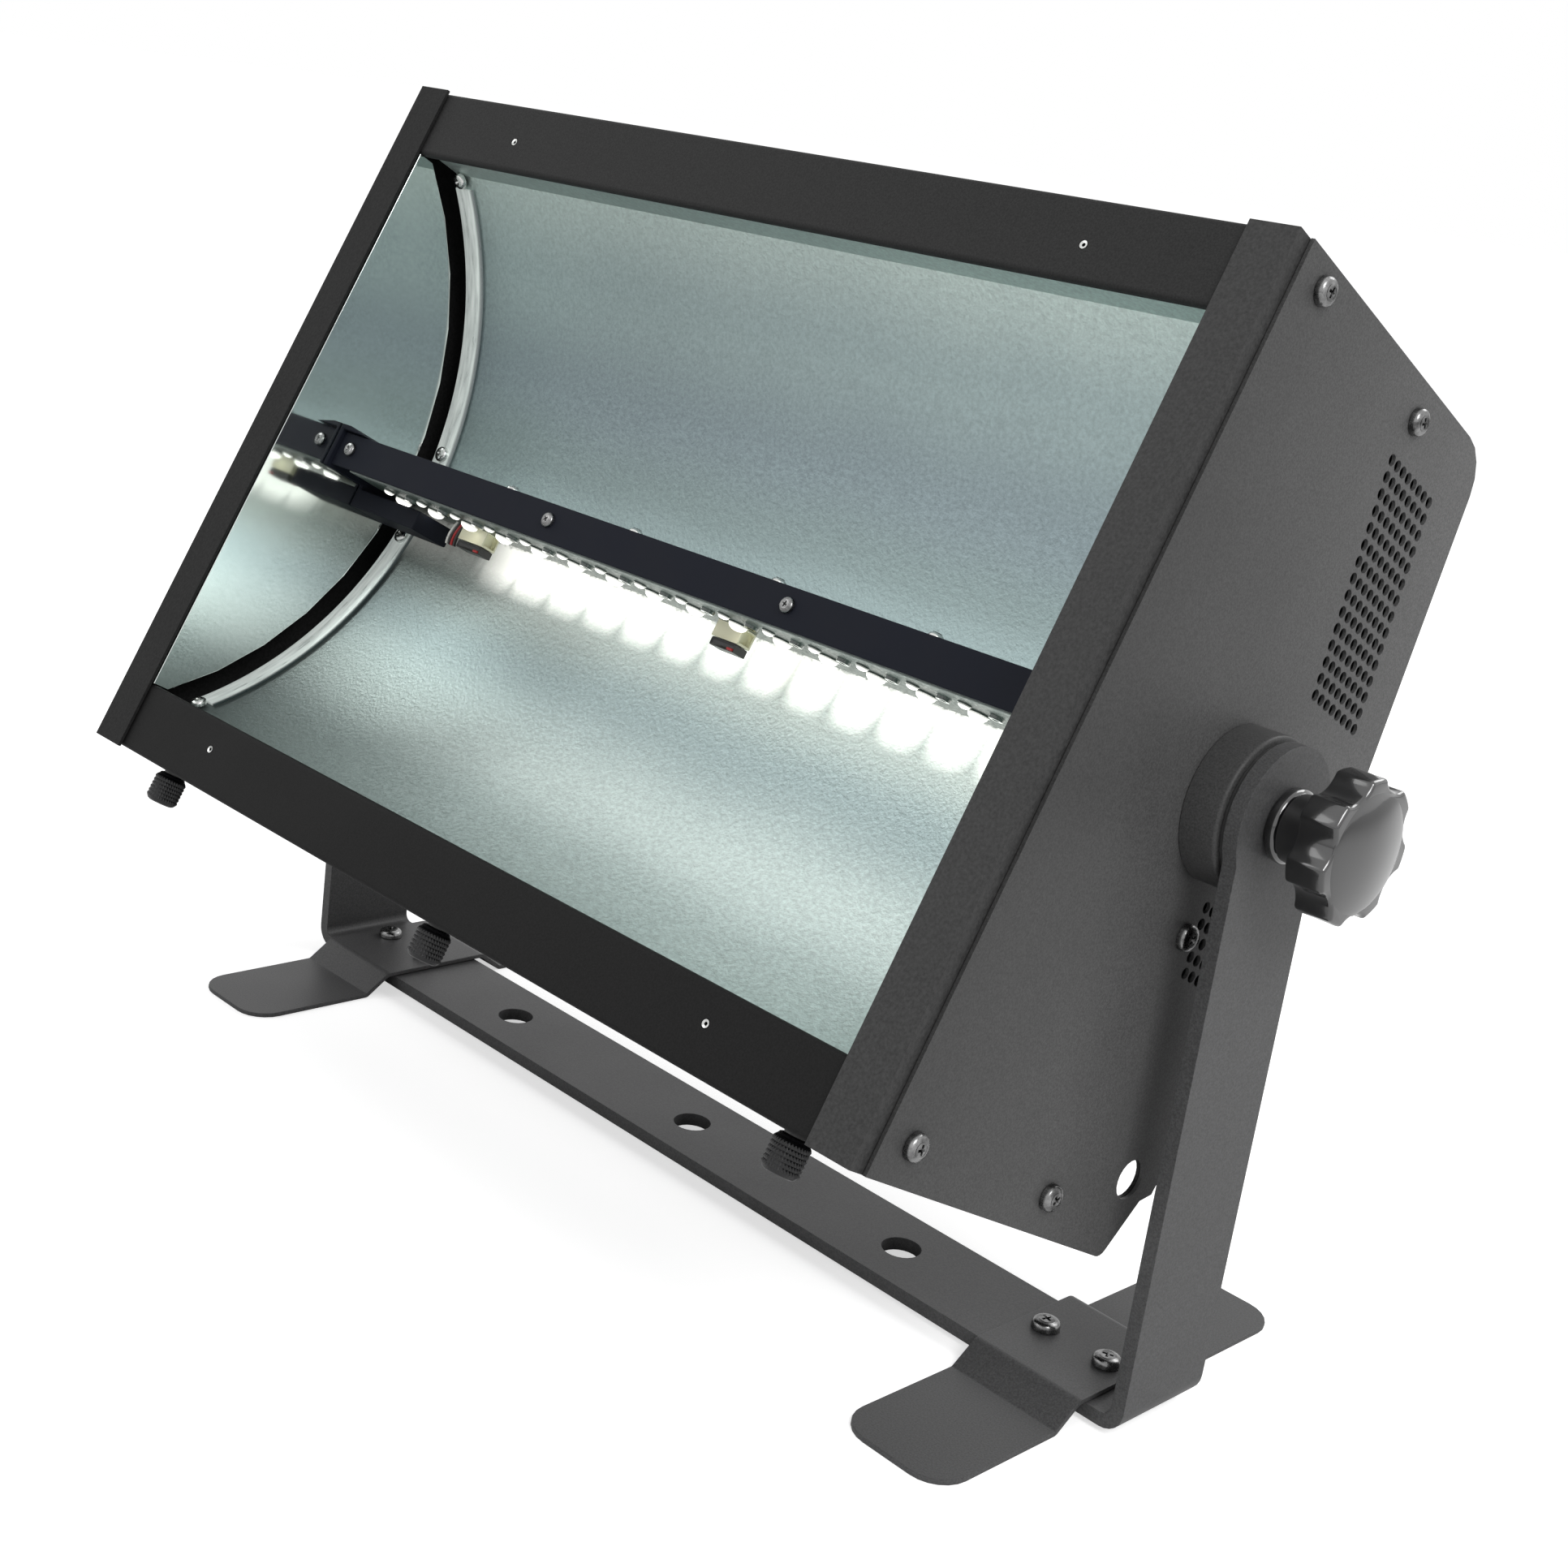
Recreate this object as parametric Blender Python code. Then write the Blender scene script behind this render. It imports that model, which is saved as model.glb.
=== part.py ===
"""Cyclorama light: a wide reflector head that tilts in a floor yoke, built piece by piece.

X runs to the right seen from the front, Y to the back, Z up. The origin is on the floor under the
middle of the yoke. Every length is in metres.
"""
import math

import bmesh
import bpy
from mathutils import Matrix, Vector

# Clearance between neighbouring pieces
GAP = 0.0003

# Head shell, folded from sheet
HEAD_WIDTH = 0.400
HEAD_HEIGHT = 0.275
SHEET = 0.0012
BEND = 0.0016
FLANGE_WIDTH = 0.018
STRIP_HEIGHT = 0.026
STRIP_LIP = 0.003
RETURN_LIP = 0.008
SHELL_INSET = 0.0006

# Side plates, measured back from the front face and up from the lower edge
COVER_FRONT = 0.006
BOTTOM_DEPTH = 0.1355
BOTTOM_RADIUS = 0.004
EAR_DEPTH = 0.148
EAR_HEIGHT = 0.0236
EAR_STEP = 0.005
REAR_DEPTH = 0.1598
REAR_HEIGHT = 0.164
TOP_DEPTH = 0.1395
TOP_RADIUS = 0.016
BELLY_DEPTH = 0.102
PANEL_HEIGHT = 0.066

# Vents and safety-cable hole of the side plates
VENT_HOLE = 0.00165
VENT_COLUMN_PITCH = 0.0043
VENT_ROW_PITCH = 0.005
VENT_SLANT = 0.257
VENT_COLUMNS = 8
VENT_ROWS = 15
VENT_MARGIN = 0.0214
SAFETY_RADIUS = 0.0065
SAFETY_DEPTH = 0.132
SAFETY_HEIGHT = 0.0254

# Screws of the side plates and feet
SCREW_HEAD = 0.0043
SCREW_SHANK = 0.002
SCREW_LENGTH = 0.0075
FOOT_SCREW_HEAD = 0.0048
FOOT_SCREW_SHANK = 0.0025
FOOT_SCREW_SPACING = 0.025

# Reflector
REFLECTOR_DEPTH = 0.071
ARC_FRONT = 0.0186
REFLECTOR_SHEET = 0.0008
WALL_SHEET = 0.001
WALL_SLOT = 0.008
RIB_WIDTH = 0.0103
RIB_SHEET = 0.001
RIB_MARGIN = 0.0007

# Lamp bar across the middle of the reflector
SHIELD_DEPTH = 0.026
SHIELD_HEIGHT = 0.0135
SINK_LENGTH = 0.0385
SINK_HEIGHT = 0.011
GROOVE_WIDTH = 0.002
GROOVE_DEPTH = 0.003
RAIL_WIDTH = 0.012
RAIL_HEIGHT = 0.0027
RAIL_PLACE = 0.61
HUMP_LENGTH = 0.014
HUMP_HEIGHT = 0.002
BOARD_SHEET = 0.0015
BOARD_DROP = 0.007
LED_COUNT = 16
LED_RADIUS = 0.0028
LED_DROP = 0.0025
PLUG_LENGTH = 0.0145
PLUG_WIDTH = 0.007
PLUG_DROP = 0.009
LEAD_COVER_LENGTH = 0.0415
LEAD_COVER_WIDTH = 0.018

# Tilt joint
TILT_ANGLE = math.radians(26.5)
PIVOT_DEPTH = 0.090
SWING_CLEARANCE = 0.0267
BOSS_RADIUS = 0.0241
BOSS_LENGTH = 0.0123
WASHER_SHEET = 0.0012
STUD_RADIUS = 0.005
KNOB_RADIUS = 0.0218
KNOB_LOBES = 7
KNOB_TURN = math.radians(27.6)
HUB_RADIUS = 0.0112
HUB_LENGTH = 0.0132
STAR_LENGTH = 0.0125
DOME_HEIGHT = 0.0042

# Yoke and feet
BAR_THICK = 0.0049
BAR_WIDTH = 0.0415
EYE_RADIUS = 0.0231
YOKE_BEND = 0.008
CLAMP_RADIUS = 0.007
CLAMP_SPACING = 0.108
FOOT_SHEET = 0.0018
FOOT_WIDTH = 0.0428
FOOT_INSET = 0.035
FOOT_RISER = 0.010
FOOT_TONGUE = 0.054
FOOT_CORNER = 0.012

# Thumb screws under the head
THUMB_DEPTH = 0.0165
THUMB_RADIUS = 0.006
THUMB_SHANK = 0.0025
THUMB_HEIGHT = 0.0125
THUMB_INSET = 0.034

# Rear fittings
SOCKET_RADIUS = 0.0115
SOCKET_DEPTH = 0.022
SOCKET_MARGIN = 0.0015
SOCKET_FLANGE = 0.0019
SOCKET_RISE = 0.0033
FUSE_RADIUS = 0.006
BUTTON_RADIUS = 0.0034
BUTTON_SPACING = 0.016
DISPLAY_WIDTH = 0.051
DISPLAY_HEIGHT = 0.0145
DISPLAY_DEPTH = 0.0085
FAN_SIZE = 0.060
FAN_LENGTH = 0.015
FAN_BLADES = 7
SUPPLY_WIDTH = 0.150
SUPPLY_DEPTH = 0.050
SUPPLY_HEIGHT = 0.034

# Sizes that follow from the ones above
HALF_WIDTH = HEAD_WIDTH / 2
FRAME_OUTER = HALF_WIDTH - SHEET - GAP
SHELL_HALF = FRAME_OUTER - SHEET - GAP
FLANGE_INNER = HALF_WIDTH - FLANGE_WIDTH
WALL_INNER = FLANGE_INNER - WALL_SHEET / 2
REFLECTOR_HALF = WALL_INNER - 0.0025
MIDDLE = HEAD_HEIGHT / 2
STRIP_DEPTH = SHEET + GAP
BAR_LOW = FOOT_SHEET + GAP
BAR_TOP = BAR_LOW + BAR_THICK
PIVOT_HEIGHT = BAR_TOP + math.hypot(PIVOT_DEPTH, MIDDLE) + SWING_CLEARANCE
BOSS_START = HALF_WIDTH + GAP
WASHER_START = BOSS_START + BOSS_LENGTH + GAP
ARM_INNER = WASHER_START + WASHER_SHEET + GAP
ARM_OUTER = ARM_INNER + BAR_THICK
KNOB_START = ARM_OUTER + GAP
FOOT_X = ARM_OUTER - FOOT_INSET
SINK_DEPTH = SHIELD_DEPTH + SHEET + GAP
BOARD_LOW = MIDDLE - BOARD_DROP
SINK_LOW = BOARD_LOW + BOARD_SHEET + GAP
LED_PITCH = 2 * REFLECTOR_HALF / (LED_COUNT + 1.13)
SHELL_TOP = HEAD_HEIGHT - SHELL_INSET
PANEL_SLOPE = (REAR_DEPTH - EAR_DEPTH) / (REAR_HEIGHT - EAR_HEIGHT)
PANEL_DEPTH = REAR_DEPTH - SHELL_INSET - PANEL_SLOPE * (REAR_HEIGHT - PANEL_HEIGHT)
PANEL_LENGTH = math.hypot(REAR_DEPTH - SHELL_INSET - PANEL_DEPTH, REAR_HEIGHT - PANEL_HEIGHT)
PANEL_LEAN = math.atan(PANEL_SLOPE)
UPPER_LEAN = math.atan((REAR_DEPTH - TOP_DEPTH) / (SHELL_TOP - REAR_HEIGHT))

# Arc steps of a rounded corner, and sides of round pieces
ARC_STEPS = 4
ROUND_SIDES = 24
SCREW_SIDES = 10
VENT_SIDES = 4
SOCKET_SIDES = 18

# Outlines are filled at a thousand times their size, where the filling is exact
FINE = 1000

# Finishes: colour, metallic, roughness
POWDER = ((0.045, 0.045, 0.045), 0.0, 0.55)
BASE_POWDER = ((0.075, 0.075, 0.078), 0.0, 0.5)
BLACK_SHEET = ((0.013, 0.015, 0.020), 0.0, 0.45)
BLACK_PLASTIC = ((0.010, 0.010, 0.011), 0.0, 0.25)
STEEL = ((0.55, 0.56, 0.57), 1.0, 0.35)
SATIN = ((0.70, 0.72, 0.70), 1.0, 0.3)
MIRROR = ((0.86, 0.87, 0.88), 1.0, 0.08)
BOARD = ((0.75, 0.76, 0.72), 0.0, 0.5)
GREEN_BOARD = ((0.02, 0.12, 0.05), 0.0, 0.5)
GLASS = ((0.02, 0.03, 0.04), 0.0, 0.05)
FIBRE = ((0.10, 0.10, 0.10), 0.0, 0.8)


def rounded(corners, radii, steps=ARC_STEPS):
    """Outline with its corners replaced by arcs"""
    points = []
    for index, (corner, radius) in enumerate(zip(corners, radii)):
        here = Vector(corner)
        if radius == 0:
            points.append(here)
            continue
        before = (Vector(corners[index - 1]) - here).normalized()
        after = (Vector(corners[(index + 1) % len(corners)]) - here).normalized()
        half = before.angle(after) / 2
        centre = here + (before + after).normalized() * radius / math.sin(half)
        start = here + before * radius / math.tan(half) - centre
        end = here + after * radius / math.tan(half) - centre
        sweep = math.atan2(start.cross(end), start.dot(end))
        for step in range(steps + 1):
            points.append(centre + Matrix.Rotation(sweep * step / steps, 2) @ start)
    return points


def left_of(direction):
    """Unit vector to the left of a direction"""
    return Vector((-direction.y, direction.x)).normalized()


def band(path, thickness):
    """Outline of a sheet along an open path, with the thickness to the left of the path"""
    path = [Vector(point) for point in path]
    inner = []
    for index, point in enumerate(path):
        behind = point - path[max(index - 1, 0)]
        ahead = path[min(index + 1, len(path) - 1)] - point
        behind = behind if behind.length else ahead
        ahead = ahead if ahead.length else behind
        middle = (left_of(behind) + left_of(ahead)).normalized()
        inner.append(point + middle * thickness / middle.dot(left_of(ahead)))
    return path + inner[::-1]


def circle(radius, centre=(0, 0), sides=ROUND_SIDES):
    """Outline of a circle"""
    turns = [2 * math.pi * side / sides for side in range(sides)]
    return [(centre[0] + radius * math.cos(turn), centre[1] + radius * math.sin(turn)) for turn in turns]


def soft_square(half_width, half_height):
    """Outline of a nearly square flange with soft corners"""
    points = []
    for side in range(SOCKET_SIDES):
        turn = 2 * math.pi * side / SOCKET_SIDES
        across = abs(math.cos(turn) / half_width) ** 8
        upward = abs(math.sin(turn) / half_height) ** 8
        reach = (across + upward) ** -0.125
        points.append((reach * math.cos(turn), reach * math.sin(turn)))
    return points


def rectangle(low, high):
    """Outline of a rectangle between two corners"""
    return [(low[0], low[1]), (high[0], low[1]), (high[0], high[1]), (low[0], high[1])]


def seat(points):
    """Depth and height on the head, turned into distances from the tilt axis"""
    return [(depth - PIVOT_DEPTH, height - MIDDLE) for depth, height in points]


def finished(shape):
    """Mesh of a closed shape that faces outward, smooth over its gentle edges"""
    if shape.calc_volume(signed=True) < 0:
        bmesh.ops.reverse_faces(shape, faces=shape.faces)
    mesh = bpy.data.meshes.new("shape")
    shape.to_mesh(mesh)
    shape.free()
    mesh.shade_smooth()
    mesh.set_sharp_from_angle(angle=math.radians(35))
    return mesh


def prism(outlines, low, high, axis):
    """Flat outlines with holes, made thick from low to high along an axis"""
    curve = bpy.data.curves.new("outline", "CURVE")
    curve.dimensions = "2D"
    curve.fill_mode = "BOTH"
    curve.extrude = (high - low) / 2 * FINE
    for outline in outlines:
        spline = curve.splines.new("POLY")
        spline.points.add(len(outline) - 1)
        spline.use_cyclic_u = True
        for point, (across, along) in zip(spline.points, outline):
            point.co = (across * FINE, along * FINE, 0, 1)
    holder = bpy.data.objects.new("outline", curve)
    bpy.context.scene.collection.objects.link(holder)
    depsgraph = bpy.context.evaluated_depsgraph_get()
    filled = bpy.data.meshes.new_from_object(holder.evaluated_get(depsgraph))
    bpy.data.objects.remove(holder)
    bpy.data.curves.remove(curve)
    shape = bmesh.new()
    shape.from_mesh(filled)
    bpy.data.meshes.remove(filled)
    bmesh.ops.remove_doubles(shape, verts=shape.verts, dist=0.00005 * FINE)
    for vert in shape.verts:
        across, along, through = vert.co / FINE
        through += (low + high) / 2
        placed = {"X": (through, across, along), "Y": (across, through, along), "Z": (across, along, through)}
        vert.co = placed[axis]
    return finished(shape)


def turned(profile, sides=ROUND_SIDES):
    """Profile of radius and height, spun about Z; a ring if the profile comes back to its start"""
    shape = bmesh.new()
    verts = [shape.verts.new((radius, 0, height)) for radius, height in profile]
    edges = [shape.edges.new(pair) for pair in zip(verts, verts[1:])]
    bmesh.ops.spin(shape, geom=verts + edges, cent=(0, 0, 0), axis=(0, 0, 1),
                   angle=2 * math.pi, steps=sides, use_merge=True)
    bmesh.ops.remove_doubles(shape, verts=shape.verts, dist=0.000005)
    bmesh.ops.recalc_face_normals(shape, faces=shape.faces)
    return finished(shape)


def loft(rings):
    """Solid drawn out through rings of the same point count, each a height and an outline"""
    height, outline = rings[0]
    shape = bmesh.new()
    cap = shape.faces.new([shape.verts.new((x, y, height)) for x, y in outline])
    placed = [vert.co.copy() for vert in cap.verts]
    for count, (height, outline) in enumerate(rings[1:]):
        drawn = bmesh.ops.extrude_face_region(shape, geom=[cap])["geom"]
        if count:
            bmesh.ops.delete(shape, geom=[cap], context="FACES_ONLY")
        cap = next(item for item in drawn if isinstance(item, bmesh.types.BMFace))
        for vert in cap.verts:
            index = min(range(len(placed)), key=lambda spot: (vert.co - placed[spot]).length)
            vert.co = (*outline[index], height)
        placed = [Vector((x, y, height)) for x, y in outline]
    bmesh.ops.recalc_face_normals(shape, faces=shape.faces)
    return finished(shape)


def lobed(radius, depth, lobes, sides):
    """Outline of a circle with lobes of a given depth"""
    points = []
    for side in range(sides):
        turn = 2 * math.pi * side / sides
        reach = radius - depth * (1 - math.cos(lobes * turn)) / 2
        points.append((reach * math.cos(turn), reach * math.sin(turn)))
    return points


def boxes(spans, turns=(Matrix.Identity(4),)):
    """Boxes between pairs of corners, repeated for every turn"""
    shape = bmesh.new()
    for turn in turns:
        for low, high in spans:
            size = Vector(high) - Vector(low)
            centre = (Vector(high) + Vector(low)) / 2
            place = turn @ Matrix.Translation(centre) @ Matrix.Diagonal((*size, 1))
            bmesh.ops.create_cube(shape, size=1, matrix=place)
    return finished(shape)


def mirrored(mesh):
    """Copy of a mesh, mirrored left to right"""
    shape = bmesh.new()
    shape.from_mesh(mesh)
    bmesh.ops.transform(shape, matrix=Matrix.Scale(-1, 4, (1, 0, 0)), verts=shape.verts)
    return finished(shape)


def joined(meshes):
    """One mesh from several that don't touch"""
    shape = bmesh.new()
    for mesh in meshes:
        shape.from_mesh(mesh)
    return finished(shape)


def collection(name, hidden=False):
    """New collection in the scene"""
    group = bpy.data.collections.new(name)
    bpy.context.scene.collection.children.link(group)
    group.hide_render = hidden
    return group


def coated(name, colour, metallic, roughness):
    """Material of one piece"""
    material = bpy.data.materials.new(name)
    material.use_nodes = True
    shader = material.node_tree.nodes["Principled BSDF"]
    shader.inputs["Base Color"].default_value = (*colour, 1)
    shader.inputs["Metallic"].default_value = metallic
    shader.inputs["Roughness"].default_value = roughness
    return material


def place(obj, group, parent, at, turn):
    """Link an object, hang it on its parent and put it in position"""
    group.objects.link(obj)
    obj.parent = parent
    obj.location = at
    obj.rotation_euler = turn
    return obj


def add(name, mesh, finish, parent=None, at=(0, 0, 0), turn=(0, 0, 0)):
    """One piece of the light"""
    obj = bpy.data.objects.new(name, mesh.copy())
    obj.data.name = name
    obj.data.materials.clear()
    obj.data.materials.append(coated(name, *finish))
    return place(obj, PARTS, parent, at, turn)


def cutter(name, mesh, parent=None, at=(0, 0, 0), turn=(0, 0, 0)):
    """Helper shape for a Boolean"""
    obj = bpy.data.objects.new(name, mesh)
    obj.display_type = "WIRE"
    obj.hide_render = True
    return place(obj, CUTTERS, parent, at, turn)


def apply_shape(obj, tool, operation="DIFFERENCE"):
    """Cut, add or intersect a helper shape"""
    modifier = obj.modifiers.new(tool.name, "BOOLEAN")
    modifier.operation = operation
    modifier.solver = "EXACT"
    modifier.object = tool


def holder(name, parent, at, lean):
    """Empty that carries pieces in a leaning frame"""
    obj = bpy.data.objects.new(name, None)
    return place(obj, PARTS, parent, at, (lean, 0, 0))


def vent_holes(depth, height, columns, rows):
    """Centres of a slanting field of holes, from its upper front corner"""
    centres = []
    for column in range(columns):
        for row in range(rows):
            down = VENT_ROW_PITCH * row
            centres.append((depth + column * VENT_COLUMN_PITCH + down * VENT_SLANT, height - down))
    return centres


def vent_window(centres, margin):
    """Slanting outline around a field of holes"""
    high = max(height for depth, height in centres) + margin
    low = min(height for depth, height in centres) - margin
    leans = [depth + height * VENT_SLANT for depth, height in centres]
    front = min(leans) - margin
    back = max(leans) + margin
    return [(front - high * VENT_SLANT, high), (front - low * VENT_SLANT, low),
            (back - low * VENT_SLANT, low), (back - high * VENT_SLANT, high)]


def upper_vent():
    """Holes over the rear half of the side"""
    lean = VENT_ROW_PITCH * (VENT_ROWS - 1) * VENT_SLANT
    front = REAR_DEPTH - VENT_MARGIN - VENT_COLUMN_PITCH * (VENT_COLUMNS - 1) - lean
    return vent_holes(front, HEAD_HEIGHT - 0.0253, VENT_COLUMNS, VENT_ROWS)


def lower_vent():
    """Holes beside and behind the yoke arm"""
    return vent_holes(PIVOT_DEPTH + 0.014, MIDDLE - 0.0295, 4, 5)


def side_screw_places():
    """Screw centres of a side by name, in depth and height"""
    low = 0.012
    return {
        "top_front": (COVER_FRONT + 0.0136, HEAD_HEIGHT - 0.0082),
        "top_rear": (PIVOT_DEPTH + 0.003, HEAD_HEIGHT - 0.0112),
        "middle": (PIVOT_DEPTH + 0.0095, MIDDLE - 0.0402),
        "bottom_front": (COVER_FRONT + 0.0136, low),
        "bottom_rear": (PIVOT_DEPTH + 0.003, low),
    }


def side_outline(front):
    """Outline of a side plate, from its front edge back"""
    corners = [
        (front, 0),
        (BOTTOM_DEPTH, 0),
        (EAR_DEPTH - EAR_STEP, EAR_HEIGHT - EAR_STEP * 0.64),
        (EAR_DEPTH, EAR_HEIGHT),
        (REAR_DEPTH, REAR_HEIGHT),
        (TOP_DEPTH, HEAD_HEIGHT),
        (front, HEAD_HEIGHT),
    ]
    return seat(rounded(corners, (0, BOTTOM_RADIUS, 0, 0, BOTTOM_RADIUS, TOP_RADIUS, 0)))


def side_cover_mesh():
    """Outer side sheet with vents, screw holes and the safety-cable hole"""
    holes = [circle(VENT_HOLE, centre, VENT_SIDES) for centre in seat(upper_vent() + lower_vent())]
    screws = seat(side_screw_places().values())
    holes += [circle(SCREW_SHANK + GAP, centre, SCREW_SIDES) for centre in screws]
    holes.append(circle(SAFETY_RADIUS, seat([(SAFETY_DEPTH, SAFETY_HEIGHT)])[0], 20))
    return prism([side_outline(COVER_FRONT)] + holes, HALF_WIDTH - SHEET, HALF_WIDTH, "X")


def side_frame_mesh():
    """Solid behind a side cover, as wide as the front flange"""
    return prism([side_outline(0)], FLANGE_INNER, FRAME_OUTER, "X")


def side_frame_cutters():
    """Hollow of the side frame, and the holes through its plate"""
    deep = SHEET - PIVOT_DEPTH
    inside = ((FLANGE_INNER - 0.01, deep, -HEAD_HEIGHT), (FRAME_OUTER - SHEET, HEAD_WIDTH, HEAD_HEIGHT))
    hollow = boxes([inside])
    outlines = [seat(vent_window(upper_vent(), 0.004)), seat(vent_window(lower_vent(), 0.003))]
    screws = seat(side_screw_places().values())
    outlines += [circle(SCREW_SHANK + GAP, centre, SCREW_SIDES) for centre in screws]
    outlines.append(circle(SAFETY_RADIUS, seat([(SAFETY_DEPTH, SAFETY_HEIGHT)])[0], 20))
    return hollow, prism(outlines, FRAME_OUTER - 0.005, FRAME_OUTER + 0.005, "X")


def shell_sheet(corners, radii):
    """Folded sheet across the head between the side frames"""
    path = rounded(seat(corners), radii)
    return prism([band(path, SHEET)], -SHELL_HALF, SHELL_HALF, "X")


def top_cover_mesh():
    """Upper front strip, top and upper rear in one sheet"""
    inner = REAR_DEPTH - SHELL_INSET
    low = REAR_HEIGHT + GAP / 2
    strip = HEAD_HEIGHT - STRIP_HEIGHT
    corners = [
        (inner - RETURN_LIP, low),
        (inner, low),
        (TOP_DEPTH - SHELL_INSET, SHELL_TOP),
        (STRIP_DEPTH, SHELL_TOP),
        (STRIP_DEPTH, strip),
        (STRIP_DEPTH + STRIP_LIP, strip),
    ]
    return shell_sheet(corners, (0, BEND, TOP_RADIUS - SHELL_INSET, BEND, BEND, 0))


def bottom_cover_mesh():
    """Lower front strip, bottom and the slope up to the rear panel in one sheet"""
    high = PANEL_HEIGHT - GAP / 2
    corners = [
        (STRIP_DEPTH + STRIP_LIP, STRIP_HEIGHT),
        (STRIP_DEPTH, STRIP_HEIGHT),
        (STRIP_DEPTH, SHELL_INSET),
        (BELLY_DEPTH, SHELL_INSET),
        (PANEL_DEPTH, high),
        (PANEL_DEPTH - RETURN_LIP, high),
    ]
    return shell_sheet(corners, (0, BEND, BEND, BEND, BEND, 0))


def reflector_arc(radius_change, low, high, steps):
    """Points of the reflector's curve between two heights, from low to high"""
    edge = MIDDLE - (STRIP_HEIGHT - SHEET - GAP)
    sag = REFLECTOR_DEPTH - ARC_FRONT
    radius = (edge ** 2 + sag ** 2) / (2 * sag)
    centre = REFLECTOR_DEPTH - radius
    reach = radius + radius_change
    start = math.asin((low - MIDDLE) / reach)
    end = math.asin((high - MIDDLE) / reach)
    points = []
    for step in range(steps + 1):
        turn = start + (end - start) * step / steps
        points.append((centre + reach * math.cos(turn), MIDDLE + reach * math.sin(turn)))
    return points


def reflector_mesh():
    """Lower curved sheet with a flat flange that runs on from the strip's lip"""
    edge = STRIP_HEIGHT - SHEET - GAP
    path = reflector_arc(0, edge, MIDDLE - GAP / 2, 14)[::-1]
    path.append((STRIP_DEPTH + BEND + SHEET, edge))
    return prism([band(seat(path), REFLECTOR_SHEET)], -REFLECTOR_HALF, REFLECTOR_HALF, "X")


def rib_mesh():
    """Lower curved strip that holds the end of the reflector"""
    outer = reflector_arc(-GAP, STRIP_HEIGHT + 0.006, MIDDLE - 0.013, 9)
    outline = band(seat(outer), RIB_SHEET)
    low = WALL_INNER - RIB_MARGIN - RIB_WIDTH
    return prism([outline], low, low + RIB_WIDTH, "X")


def wall_mesh():
    """Mirror wall beside the reflector; its curved back edge leaves a slot before the ribs"""
    low = STRIP_HEIGHT + GAP
    high = HEAD_HEIGHT - low
    back = reflector_arc(-WALL_SLOT, low, high, 12)
    outline = [(STRIP_DEPTH, high), (STRIP_DEPTH, low)] + back
    return prism([seat(outline)], WALL_INNER, WALL_INNER + WALL_SHEET, "X")


def flipped(mesh):
    """Copy of a mesh, mirrored top to bottom about the tilt axis"""
    shape = bmesh.new()
    shape.from_mesh(mesh)
    bmesh.ops.transform(shape, matrix=Matrix.Scale(-1, 4, (0, 0, 1)), verts=shape.verts)
    return finished(shape)


def lamp_bar():
    """Shield, heat sink, board with its lamps, and the brackets at both ends"""
    half = REFLECTOR_HALF
    low = BOARD_LOW - MIDDLE
    front = SHIELD_DEPTH - PIVOT_DEPTH
    shield = boxes([((-half, front, low), (half, front + SHEET, low + SHIELD_HEIGHT))])
    add("bar_shield", shield, BLACK_SHEET, HEAD)

    sink_front = SINK_DEPTH - PIVOT_DEPTH
    sink_low = SINK_LOW - MIDDLE
    add("heat_sink", prism([sink_outline(sink_front, sink_low)], -half, half, "X"), SATIN, HEAD)

    board_half = half - 0.007
    board_front = sink_front + 0.0025
    board_back = sink_front + SINK_LENGTH - 0.0025
    board = boxes([((-board_half, board_front, low), (board_half, board_back, low + BOARD_SHEET))])
    board = add("led_board", board, BOARD, HEAD)
    lamps = board_front + (board_back - board_front) * 0.6
    apply_shape(board, cutter("led_shapes", led_mesh(low, lamps), HEAD), "UNION")
    plug_front = lamps + LED_RADIUS * 0.8
    plugs = [((across, plug_front, low - PLUG_DROP), (across + length, plug_front + PLUG_WIDTH, low + GAP))
             for across, length in ((-half * 0.69, PLUG_LENGTH), (half * 0.0961, PLUG_LENGTH * 0.862))]
    apply_shape(board, cutter("plug_shapes", boxes(plugs), HEAD), "UNION")

    outer = WALL_INNER - GAP
    inner = half + GAP
    back = sink_front + SINK_LENGTH
    over = low + SHIELD_HEIGHT + GAP
    high = over + HUMP_HEIGHT
    start = front - 0.002
    bracket = boxes([((inner, start, low - 0.0015), (outer, back, high))])
    peak = inner - HUMP_LENGTH / 4
    slope = [(inner - HUMP_LENGTH, over), (inner + GAP, over), (inner + GAP, high), (peak, high)]
    rail = sink_front + SINK_LENGTH * RAIL_PLACE - RAIL_WIDTH / 2
    hump = prism([slope], start, rail - GAP, "Y")
    right = add("bar_bracket_right", bracket, BLACK_SHEET, HEAD)
    left = add("bar_bracket_left", mirrored(bracket), BLACK_SHEET, HEAD)
    apply_shape(right, cutter("hump_right", hump, HEAD), "UNION")
    apply_shape(left, cutter("hump_left", mirrored(hump), HEAD), "UNION")
    cover_front = plug_front - (LEAD_COVER_WIDTH - PLUG_WIDTH) * 0.8
    cover_back = cover_front + LEAD_COVER_WIDTH
    cover_top = low - LED_DROP - GAP
    cover_low = low - PLUG_DROP - SHEET
    spans = [((-outer, cover_front, cover_low), (LEAD_COVER_LENGTH - outer, cover_back, cover_top)),
             ((-outer, cover_front, cover_low), (-inner, cover_back, sink_low))]
    for index, span in enumerate(spans):
        apply_shape(left, cutter("lead_cover_%d" % index, boxes([span]), HEAD), "UNION")


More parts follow.
